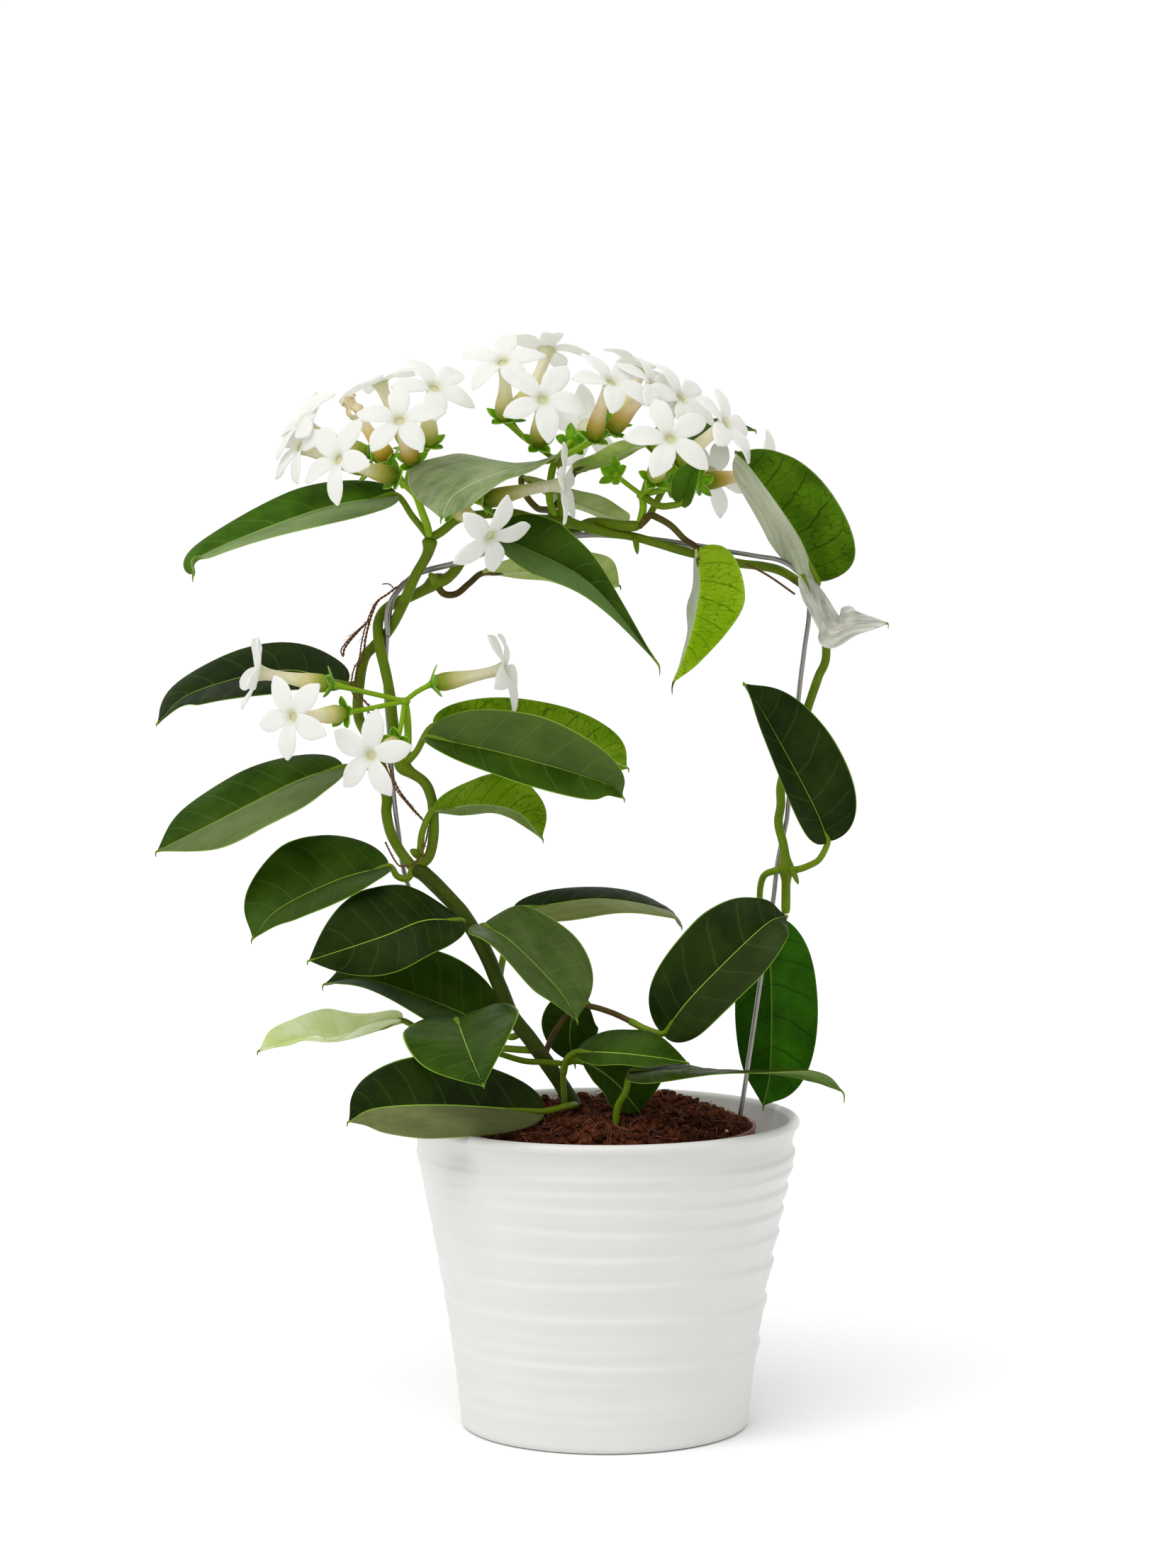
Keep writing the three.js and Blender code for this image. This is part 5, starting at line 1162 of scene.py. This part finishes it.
def make_cachepot():
    foot = POT_FOOT_RADIUS
    base = [(0, 0), (30, 0), (foot - 2.4, 0), (foot - 1, 0.4), (foot - 0.1, 1.3)]
    outside = [(pot_radius(z), z) for z in np.linspace(2.5, POT_HEIGHT - 6, 170)]
    lip_height = POT_HEIGHT - LIP_HALF_THICKNESS
    lip = [
        (LIP_RADIUS + LIP_HALF_THICKNESS * math.cos(a), lip_height + LIP_HALF_THICKNESS * math.sin(a))
        for a in np.radians(np.linspace(-62, 180, 16))
    ]
    inside = [
        (pot_radius(z) - POT_WALL + 0.8 * smoothstep(105, 118, z), z)
        for z in np.linspace(POT_HEIGHT - 7, 13, 40)
    ]
    floor_radius = pot_radius(12) - POT_WALL
    corner = [
        (floor_radius - POT_CORNER * (1 - math.cos(a)), POT_FLOOR + POT_CORNER * (1 - math.sin(a)))
        for a in np.radians([20, 45, 70, 90])
    ]
    outer_rows = len(base) + len(outside) - 1

    def wobble(height, angle):
        relief = thrown_relief(height, angle)
        relief[outer_rows:] = 0.12 * np.sin(3 * angle + height[outer_rows:] / 9)
        relief[outer_rows:outer_rows + len(lip)] = 0.0
        return relief

    piece = Piece()
    profile = [*base, *outside, *lip, *inside, *corner, (20, POT_FLOOR), (0, POT_FLOOR)]
    add_turned(piece, profile, POT_SIDES, wobble)
    piece.make("cachepot_glaze", ["glazed_stoneware"], "cachepot")


def make_nursery_pot():
    """The thin pot inside: a tapered wall with a wider band and a rounded edge at the rim."""
    band = LINER_TOP - LINER_RIM_BAND
    rim, foot, bottom, top = LINER_RIM_RADIUS, LINER_FOOT_RADIUS, LINER_BOTTOM, LINER_TOP
    wall = [
        (foot + (LINER_TOP_RADIUS - foot) * s, bottom + (band - bottom) * s)
        for s in np.linspace(0.05, 1, 12)
    ]
    edge = [
        (rim - 1.2, band + 0.2), (rim - 0.7, band + 0.6), (rim - 0.4, band + 4),
        (rim - 0.15, top - 1.4), (rim + 0.15, top - 0.9), (rim + 0.1, top - 0.2), (rim - 0.4, top),
        (rim - 1, top - 0.1), (rim - LINER_WALL, top - 0.7), (rim - LINER_WALL - 0.4, band + 1),
    ]
    inside = [
        (LINER_TOP_RADIUS - LINER_WALL, band - 0.2), (foot - LINER_WALL, bottom + 3),
        (foot - LINER_WALL - 1, bottom + LINER_WALL), (0, bottom + LINER_WALL),
    ]
    piece = Piece()
    base = [(0, bottom), (foot - 1, bottom), (foot, bottom + 1)]
    add_turned(piece, [*base, *wall, *edge, *inside], LINER_SIDES)
    piece.make("nursery_pot_shell", ["brown_plastic"], "nursery_pot")


def peat_height(x, y):
    """Height of the peat: a low lumpy mound with a clod at the back right and one at the right."""
    share = math.hypot(x, y) / SOIL_RADIUS
    height = SOIL_EDGE_HEIGHT + SOIL_CROWN * (1 - share * share)
    for at_x, at_y, rise, spread in SOIL_CLODS:
        height += rise * math.exp(-((x - at_x) ** 2 + (y - at_y) ** 2) / spread)
    lumps = 1.6 * abs(rough((x, y, 5), 2.6, 2))
    for layer, width, rise in SOIL_LUMPS:
        lumps += rise * rough((x, y, layer), width)
    return height + lumps * (1 - 0.5 * share**6)


def make_peat():
    foot = LINER_BOTTOM + LINER_WALL + 0.3
    levels = [(SOIL_RADIUS * ring / SOIL_RINGS, None) for ring in range(1, SOIL_RINGS + 1)]
    levels += [(LINER_TOP_RADIUS - 2, 109), (LINER_FOOT_RADIUS - 1.9, foot)]
    rings = []
    for radius, level in levels:
        spots = [(radius * math.cos(angle), radius * math.sin(angle)) for angle in around(SOIL_SIDES)]
        rings.append([(x, y, peat_height(x, y) if level is None else level) for x, y in spots])
    piece = Piece()
    middle = np.zeros(3)
    piece.sweep(rings, np.zeros((len(rings), SOIL_SIDES, 3)),
                start=([0, 0, peat_height(0, 0)], middle), end=([0, 0, foot], middle))
    piece.make("peat_bed", ["peat"], "soil")


def peat_spot(draw, spread):
    """A random place on the peat, within a share of its radius."""
    reach = SOIL_RADIUS * math.sqrt(draw.random()) * spread
    angle = draw.uniform(0, 2 * math.pi)
    return reach * math.cos(angle), reach * math.sin(angle)


def add_crumb(piece, centre, size, draw):
    """Adds a small lump with an uneven skin."""
    axis = unit([draw.uniform(-1, 1), draw.uniform(-1, 1), draw.uniform(-0.4, 0.4)])
    share = np.array([0.1, 0.3, 0.5, 0.7, 0.9])
    length = size * draw.uniform(1.0, 2.2)
    path = centre + axis * ((share - 0.5) * length)[:, None]
    radii = size * 0.55 * np.sqrt(1 - (2 * share - 1) ** 2) * [draw.uniform(0.7, 1.25) for _ in share]
    piece.bar(path, radii, sides=6, places=np.full((5, 3), draw.random()))


def make_peat_crumbs():
    draw = random.Random(CRUMB_SEED)
    piece = Piece()
    for _ in range(CRUMBS):
        x, y = peat_spot(draw, CRUMB_SPREAD)
        size = draw.choice(CRUMB_SIZES)
        add_crumb(piece, np.array([x, y, peat_height(x, y) + 0.25 * size]), size, draw)
    piece.make("peat_crumbs", ["peat"], "soil")
    grain = Piece()
    add_crumb(grain, np.array(PERLITE), 1.5, draw)
    grain.make("perlite_grain", ["perlite"], "soil")


def make_peat_fibres():
    """Fibres that arch over the peat between two ends that lie on it or in it."""
    draw = random.Random(FIBRE_SEED)
    piece = Piece()
    for _ in range(FIBRES):
        x, y = peat_spot(draw, FIBRE_SPREAD)
        length = draw.uniform(*FIBRE_LENGTHS)
        heading = draw.uniform(0, 2 * math.pi)
        step = np.array([math.cos(heading), math.sin(heading), 0]) * length / 2
        middle = np.array([x, y, peat_height(x, y) + draw.uniform(*FIBRE_ARCHES)])
        ends = []
        for way in (-1, 1):
            end = middle + way * step + np.array([draw.uniform(-2, 2), draw.uniform(-2, 2), 0])
            end[:2] *= min(1, SOIL_RADIUS / max(1, math.hypot(*end[:2])))
            end[2] = peat_height(end[0], end[1]) + draw.choice(FIBRE_ENDS)
            ends.append(end)
        path = smooth_path([ends[0], middle, ends[1]], np.linspace(0, 1, len(FIBRE_TAPER)))
        radii = draw.uniform(*FIBRE_RADII) * FIBRE_TAPER
        piece.bar(path, radii, sides=5, places=np.full((len(path), 3), draw.random()))
    piece.make("peat_fibres", ["peat_fibre"], "soil")


# ------------------------------------------------------------ finishes
def tint(code):
    """Linear colour of a six-digit hex code."""
    channels = [int(code[i:i + 2], 16) / 255 for i in (1, 3, 5)]
    linear = [c / 12.92 if c <= 0.04045 else ((c + 0.055) / 1.055) ** 2.4 for c in channels]
    return (*linear, 1.0)


class Finish:
    """A material whose shader takes its inputs from nodes that are added one by one."""

    def __init__(self, name):
        self.material = bpy.data.materials.new(name)
        self.material.use_nodes = True
        self.tree = self.material.node_tree
        self.shader = self.tree.nodes["Principled BSDF"]
        self.space = self.add("TexCoord").outputs["Object"]

    def add(self, kind, values=None, **settings):
        node = self.tree.nodes.new("ShaderNode" + kind)
        for key, value in settings.items():
            setattr(node, key, value)
        for key, value in (values or {}).items():
            self.put(node.inputs[key], value)
        return node

    def put(self, socket, value):
        if isinstance(value, bpy.types.NodeSocket):
            self.tree.links.new(value, socket)
        else:
            socket.default_value = value

    def surface(self, colour, roughness, bumps, gloss=0.5, ior=1.5, metal=0.0):
        """Sets the shader.

        roughness is one value, or (noise, low, high). bumps are (height, distance in mm,
        strength), from the lowest layer up.
        """
        if isinstance(roughness, tuple):
            grain, low, high = roughness
            roughness = self.step(grain, 0.3, 0.7, low, high)
        inputs = self.shader.inputs
        self.put(inputs["Base Color"], colour)
        self.put(inputs["Roughness"], roughness)
        inputs["Metallic"].default_value = metal
        inputs["IOR"].default_value = ior
        inputs["Specular IOR Level"].default_value = gloss
        below = None
        for height, distance, strength in bumps:
            bump = self.add("Bump", {"Height": height, "Distance": distance * MM, "Strength": strength})
            if below is not None:
                self.put(bump.inputs["Normal"], below)
            below = bump.outputs[0]
        if below is not None:
            self.put(inputs["Normal"], below)

    def math(self, operation, a, b=0.0, c=0.0):
        return self.add("Math", {0: a, 1: b, 2: c}, operation=operation).outputs[0]

    def step(self, value, low, high, bottom=0.0, top=1.0):
        """value eased from bottom at low to top at high."""
        node = self.add("MapRange", interpolation_type="SMOOTHSTEP")
        for key, number in zip(("Value", "From Min", "From Max", "To Min", "To Max"),
                               (value, low, high, bottom, top)):
            self.put(node.inputs[key], number)
        return node.outputs[0]

    def mix(self, factor, a, b, blend="MIX"):
        node = self.add("Mix", {0: factor, 6: a, 7: b}, data_type="RGBA", blend_type=blend)
        return node.outputs[2]

    def over(self, base, share, strength, code):
        """Lays a tone over the base, as far as share times strength."""
        return self.mix(self.math("MULTIPLY", share, strength), base, tint(code))

    def noise(self, size, detail=3.0, roughness=0.55, vector=None, stretch=None):
        """Noise from 0 to 1 with features about size millimetres wide."""
        vector = self.space if vector is None else vector
        if stretch is not None:
            vector = self.add("Mapping", {"Vector": vector, "Scale": stretch}).outputs[0]
        values = {"Vector": vector, "Scale": 1 / (size * MM), "Detail": detail, "Roughness": roughness}
        return self.add("TexNoise", values).outputs[0]

    def ramp(self, factor, stops):
        node = self.add("ValToRGB", {0: factor})
        band = node.color_ramp
        while len(band.elements) < len(stops):
            band.elements.new(0.5)
        for element, (place, colour) in zip(band.elements, stops):
            element.position = place
            element.color = tint(colour)
        return node.outputs[0]

    def place(self):
        """The piece's own marks: as a vector, then along, across and share across."""
        vector = self.add("Attribute", attribute_name="place", attribute_type="GEOMETRY").outputs["Vector"]
        return vector, *self.add("SeparateXYZ", {0: vector}).outputs

    def let_through(self, colour, share):
        """Lets a share of the light through, as a thin leaf or petal does."""
        glow = self.add("BsdfTranslucent", {"Color": colour})
        blend = self.add("MixShader", {0: share, 1: self.shader.outputs[0], 2: glow.outputs[0]})
        self.put(self.tree.nodes["Material Output"].inputs[0], blend.outputs[0])


def floor_finish():
    finish = Finish("floor_white")
    finish.surface(tint("#f4f4f4"), 0.9, [], gloss=0.0)
    return finish.material


def glazed_stoneware(finish):
    """White satin glaze: faint mottling, fine pinholes, soft orange peel and painted shade under the lip."""
    base = finish.mix(finish.noise(28, 4), tint("#d7d6d3"), tint("#dedddb"))
    height = finish.add("SeparateXYZ", {0: finish.space}).outputs[2]
    # Painted shade: the glaze turns greyer over the top band, under the lip, where shade falls.
    base = finish.mix(finish.step(height, 0.099, 0.113, 0.0, 0.5), base, tint("#cdcbc6"))
    base = finish.over(base, finish.step(finish.noise(0.9, 1), 0.74, 0.8), 0.25, "#c9c8c2")
    peel = [(finish.noise(7), 0.12, 0.5), (finish.noise(0.8, 2), 0.012, 0.6)]
    finish.surface(base, (finish.noise(12), 0.34, 0.5), peel, gloss=0.4)


def brown_plastic(finish):
    """Thin moulded plastic: flow streaks, dust and scuffs."""
    streak = finish.noise(6, 4, stretch=(1, 1, 0.15))
    base = finish.mix(streak, tint("#5e2a20"), tint("#8a4636"))
    base = finish.over(base, finish.step(finish.noise(2.2, 5), 0.52, 0.75), 0.35, "#3a2118")
    finish.surface(base, (streak, 0.35, 0.6), [(finish.noise(0.7), 0.03, 0.5)])


def peat(finish):
    """Moist coir and peat: dark brown with red-brown crumbs, near-black flecks and broad darker patches."""
    grain = finish.noise(1.6, 6, 0.7)
    base = finish.ramp(grain, [(0.28, "#1c0c06"), (0.44, "#4c2615"), (0.58, "#743c22"), (0.74, "#ac6c3c")])
    base = finish.mix(finish.step(finish.noise(9), 0.4, 0.6, 0.0, 0.7), base, tint("#32180d"))
    bumps = [(finish.noise(2.2, 5, 0.7), 0.9, 0.9), (finish.noise(0.5), 0.2, 0.8)]
    finish.surface(base, 0.93, bumps, gloss=0.1)


def peat_fibre(finish):
    """Coir fibres, each of its own tone from nearly black to straw."""
    _, tone, _, _ = finish.place()
    base = finish.ramp(tone, [(0.0, "#3a1a0e"), (0.4, "#70361e"), (0.8, "#9c5a34"), (1.0, "#bc8450")])
    base = finish.mix(finish.noise(1.2), base, tint("#3a1d12"))
    finish.surface(base, 0.85, [(finish.noise(0.3, 2), 0.05, 0.6)])


def perlite(finish):
    base = finish.mix(finish.noise(0.7), tint("#d9cdb4"), tint("#f3ead6"))
    finish.surface(base, 0.8, [(finish.noise(0.4, 2), 0.1, 0.8)])


def steel_wire(finish):
    """Drawn galvanised wire: bright, with dull patches and fine draw lines."""
    dull = finish.noise(5, 4)
    lines = finish.noise(0.35, 2, stretch=(1, 1, 0.1))
    base = finish.mix(dull, tint("#74726e"), tint("#a8a6a0"))
    finish.surface(base, (dull, 0.26, 0.48), [(lines, 0.02, 0.5)], metal=0.9)


def twine(finish):
    base = finish.ramp(finish.noise(0.8, 4, 0.7), [(0.3, "#3c2008"), (0.5, "#643c16"), (0.7, "#90602c")])
    finish.surface(base, 0.88, [(finish.noise(0.25, 2), 0.06, 0.8)])


def sepal(finish):
    """Fresh green calyx with pale rims."""
    *_, share = finish.place()
    base = finish.mix(finish.step(finish.noise(3), 0.3, 0.7), tint("#548c06"), tint("#84ba16"))
    rim = finish.step(finish.math("ABSOLUTE", share), 0.8, 0.97)
    base = finish.over(base, rim, 0.7, "#c8e474")
    finish.surface(base, (finish.noise(2, 2), 0.32, 0.5), [(finish.noise(1.1), 0.06, 0.6)], gloss=0.14)
    finish.let_through(tint("#9fd62a"), 0.22)


def stem_finish(finish, low, high, brown, brown_share):
    """Smooth young bark: long streaks, brown tinges, pale lenticels and fine grooves."""
    base = finish.mix(finish.noise(10, 4), tint(low), tint(high))
    tinge = finish.step(finish.noise(13, 4), 0.62 - brown_share, 0.82 - brown_share)
    base = finish.over(base, tinge, 0.75, brown)
    dots = finish.step(finish.noise(1.1, 1), 0.69, 0.76)
    base = finish.over(base, dots, 0.4, "#8f8a4a")
    bumps = [(finish.noise(2.2, 4), 0.14, 0.5), (dots, 0.08, 0.5)]
    finish.surface(base, (finish.noise(4), 0.36, 0.6), bumps, gloss=0.12)


def petal_finish(finish, foot, belly, neck, lobe="#f6f6f3"):
    """Waxy corolla: the tube's tones from foot to neck, a cream throat and white lobes."""
    _, along, _, share = finish.place()
    base = finish.ramp(finish.math("MULTIPLY", along, 0.5), [
        (0.0, foot), (0.05, foot), (0.12, belly), (0.22, neck), (0.38, "#f2ecda"), (0.5, "#e8e9c4"),
        (0.54, "#eeefd8"), (0.6, lobe), (1.0, lobe),
    ])
    streak = finish.step(finish.noise(2.4, 4), 0.45, 0.75)
    base = finish.over(base, streak, finish.step(along, 0.8, 1.0, 0.2, 0.0), foot)
    crease = finish.step(finish.math("ABSOLUTE", share), 0.0, 0.12, 1.0, 0.0)
    bumps = [(finish.noise(0.9), 0.03, 0.5), (crease, -0.08, 0.4)]
    finish.surface(base, (finish.noise(2.5), 0.42, 0.6), bumps, gloss=0.25)
    finish.let_through(finish.mix(finish.step(along, 0.75, 1.1, 0.0, 0.45), base, tint("#fafaf7")), 0.5)


def side_vein_lines(finish, along, reach, width):
    """1 on the side veins, which lean towards the tip and fade before the margin."""
    drift = finish.math("MULTIPLY", finish.noise(11, 2), 0.25)
    lean = finish.math("MULTIPLY", finish.math("POWER", reach, 1.3), VEIN_LEAN)
    order = finish.math("SUBTRACT", finish.math("MULTIPLY", along, SIDE_VEINS), lean)
    wave = finish.math("PINGPONG", finish.math("ADD", order, drift), 0.5)
    line = finish.step(wave, 0.012, width, 1.0, 0.0)
    return finish.math("MULTIPLY", line, finish.step(reach, 0.78, 0.97, 1.0, 0.0))


def vein_net(finish, vector, strength):
    """The net of fine veins, stronger in some parts of the leaf than in others."""
    drawn = finish.add("Mapping", {"Vector": vector, "Scale": (2.4, 1, 0)}).outputs[0]
    wobble = finish.add("TexNoise", {"Vector": vector, "Scale": 30.0, "Detail": 2.0}).outputs[1]
    values = {"Vector": finish.mix(0.05, drawn, wobble, "ADD"), "Scale": 15.0, "Randomness": 0.95}
    cells = finish.add("TexVoronoi", values, feature="DISTANCE_TO_EDGE", voronoi_dimensions="2D")
    mesh = finish.step(cells.outputs["Distance"], 0.015, 0.065, 1.0, 0.0)
    twigs = finish.step(finish.noise(4), 0.38, 0.56)
    return finish.math("MULTIPLY", mesh, finish.math("MULTIPLY", twigs, strength))


def painted_sheen_patch(finish, vector, across, half, strength):
    """Where a painted highlight lies: cloudy and a little streaky, on one half of the blade or on both."""
    cloud = finish.noise(30, 4, 0.6, vector, (0.09, 0.36, 0))
    streak = finish.noise(26, 4, 0.6, vector, (0.13, 1.1, 0))
    weakest = (0.6 if half else 0.3) * strength
    painted_patch = finish.step(finish.mix(0.4, cloud, streak), 0.33, 0.68, weakest, strength)
    if half:
        inner = finish.step(finish.math("MULTIPLY", across, half), -0.002, 0.004)
        painted_patch = finish.math("MULTIPLY", painted_patch, inner)
    return painted_patch


def leaf_finish(name, tones, glow, sheen, net=0.0, rim=0.55, rough_range=(0.28, 0.42), vein_share=0.26,
                ior=1.4):
    """A leathery leaf face: mottled, with a pale rib and rim, side veins and a net of veins.

    tones are dark, light, rib and veins. glow is (tone, share) of the light that the leaf lets
    through. The argument after glow is (half, tone, strength) of a painted highlight laid into
    the base colour and the glow, with half 0 for both; a tone darker than the face paints shade.
    """
    finish = Finish(name)
    dark, light, rib, vein = tones
    vector, along, across, share = finish.place()
    reach = finish.math("ABSOLUTE", share)
    base = finish.mix(finish.step(finish.noise(16, 4), 0.3, 0.7), tint(dark), tint(light))
    height = side_vein_lines(finish, along, reach, 0.05 if net else 0.06)
    base = finish.over(base, height, vein_share, vein)
    if net:
        mesh = vein_net(finish, vector, net)
        base = finish.mix(mesh, base, tint(vein))
        height = finish.math("MAXIMUM", height, mesh)
    inner = tint(glow[0])
    # Painted highlight: a lighter tone laid into the base colour and into the light let through; a darker
    # tone paints shade.
    if sheen:
        half, tone, strength = sheen
        painted_patch = painted_sheen_patch(finish, vector, across, half, strength)
        base = finish.mix(painted_patch, base, tint(tone))
        inner = finish.mix(painted_patch, inner, tint(tone))
    base = finish.over(base, finish.step(finish.noise(0.8, 2), 0.7, 0.78), 0.075, "#8fa07a")
    slim = finish.math("MULTIPLY_ADD", along, -0.75, 1.15)
    from_rib = finish.math("DIVIDE", finish.math("ABSOLUTE", across), slim)
    base = finish.mix(finish.step(from_rib, 0.0014, 0.0034, 1.0, 0.0), base, tint(rib))
    base = finish.over(base, finish.step(reach, 0.965, 0.99), rim, rib)
    bumps = [(finish.noise(4.5), 0.16, 0.45), (finish.noise(0.7, 2), 0.02, 0.5), (height, -0.1, 0.6)]
    finish.surface(base, (finish.noise(3.5, 4), *rough_range), bumps, gloss=0.045, ior=ior)
    finish.let_through(finish.mix(0.45 if net else 0.75, base, inner), glow[1])
    return finish.material


# Tones of the leaves' upper faces: dark and light mottling, rib and side veins.
LEAF_FACES = {
    "deep": ("#18240a", "#26350e", "#92b63e", "#425a24"),
    "dark": ("#253d08", "#375110", "#a0c648", "#557030"),
    "mid": ("#2e4c08", "#466a14", "#a4ca52", "#5a7e30"),
    "light": ("#728e2c", "#90a648", "#b8ca7c", "#8c9c54"),
    "sage": ("#40621a", "#5e8034", "#c4cca0", "#8c9664"),
    "dusky": ("#202f02", "#2c3a06", "#86a440", "#44581c"),
    "cream": ("#d6e498", "#fafbe6", "#9cb858", "#a8bc70"),
    # The face of leaf_right_creased is grey-green: partly the leaf's own dull tone, partly painted reflection
    # of its silvery gloss.
    "grey_and_painted_gloss": ("#4c5240", "#6c7060", "#c4c6b8", "#84867a"),
}
FACE_GLOW = {"cream": ("#e4f0a8", 0.48)}
FACE_IOR = {"dusky": 1.15}
# Tones of the undersides: the same four, the light let through and its share, and the net.
LEAF_BACKS = {
    "green": (("#4c6a1c", "#6a8634", "#9ab06a", "#42602a"), ("#7fb01a", 0.12), 0.0),
    "pale": (("#98ac50", "#b6c67c", "#bccaa0", "#7c8f58"), ("#aac850", 0.2), 0.0),
    # lime, net and bright are partly the underside's own green and partly painted backlight: saturated
    # yellow-green bases with dark veins against them, as where light shines through the blade from behind;
    # bright is net painted lighter still for leaves that lie in more shade.
    "lime": (("#98c810", "#bce430", "#e0ecb0", "#4c7a04"), ("#d4ff28", 0.52), 0.9),
    "net": (("#44680a", "#608a12", "#b4cc84", "#1c3402"), ("#80bc08", 0.32), 0.9),
    "bright": (("#6e9c0c", "#92b820", "#b4cc84", "#284404"), ("#a0d80c", 0.36), 0.85),
    "deep": (("#244e06", "#366c08", "#5f8a22", "#163004"), ("#3f9408", 0.3), 0.4),
    "white": (("#d8e6a8", "#f8fae6", "#9cb858", "#a4bc6c"), ("#d0e48a", 0.3), 0.0),
}
# Bark: two green tones, a brown one and its share.
STEM_TONES = {
    "old_stem": ("#2a3a06", "#44540a", "#4a3a16", 0.04),
    "green_stem": ("#4b6308", "#6c820e", "#4a3a16", 0.07),
    "brown_stem": ("#4a4214", "#665426", "#46301a", 0.2),
    "petiole": ("#54700a", "#748a14", "#5f4f22", -0.03),
    "brown_petiole": ("#4a4a10", "#5c5418", "#3c2a14", 0.22),
    "pedicel": ("#6c920a", "#90b41c", "#5a7e14", -0.1),
}
# Corollas: the tube's foot, belly and neck, and the lobes where they aren't white.
PETAL_TONES = {
    "petal_cream": ("#a8b840", "#e6dc9c", "#f2eed0"),
    # tan and olive are darker, more saturated tube tones given to tubes that lie in shade: partly the tubes'
    # own colour, partly painted shade.
    "petal_tan": ("#8c9418", "#cdb552", "#ecdcb4"),
    "petal_olive": ("#7c8c18", "#c0ba54", "#e4e0b4"),
    "petal_wilted": ("#b09a20", "#e6cc66", "#ecd27c", "#f2e6c4"),
}
FINISHES = {}


def leaf_finishes(leaf):
    """Names of the finishes of a leaf's faces and stalk; a face is made when it is first used."""
    upper = "leaf_" + (leaf.name if leaf.sheen else leaf.tone)
    under = "under_" + (leaf.name if leaf.back_sheen else leaf.under)
    if upper not in FINISHES:
        glow = FACE_GLOW.get(leaf.tone, ("#4f8a10", 0.06))
        ior = FACE_IOR.get(leaf.tone, 1.4)
        FINISHES[upper] = leaf_finish(upper, LEAF_FACES[leaf.tone], glow, leaf.sheen, ior=ior)
    if under not in FINISHES:
        tones, glow, net = LEAF_BACKS[leaf.under]
        FINISHES[under] = leaf_finish(
            under, tones, glow, leaf.back_sheen, net, rim=0.3, rough_range=(0.38, 0.52),
            vein_share=0.62 if net else 0.3,
        )
    return upper, under, leaf.stalk


def make_finish(name, paint, tones=()):
    finish = Finish(name)
    paint(finish, *tones)
    FINISHES[name] = finish.material


def make_finishes():
    for paint in (glazed_stoneware, brown_plastic, peat, peat_fibre, perlite, steel_wire, twine, sepal):
        make_finish(paint.__name__, paint)
    for name, tones in STEM_TONES.items():
        make_finish(name, stem_finish, tones)
    for name, tones in PETAL_TONES.items():
        make_finish(name, petal_finish, tones)


# ------------------------------------------------------------ assembly
make_camera()
make_light()
make_floor()
make_finishes()
make_cachepot()
make_nursery_pot()
make_peat()
make_peat_crumbs()
make_peat_fibres()
make_stems()
make_wires()
make_twine()
make_shoots()
for plain_leaf in LEAVES:
    make_leaf(plain_leaf)
make_umbels()
make_flowers()
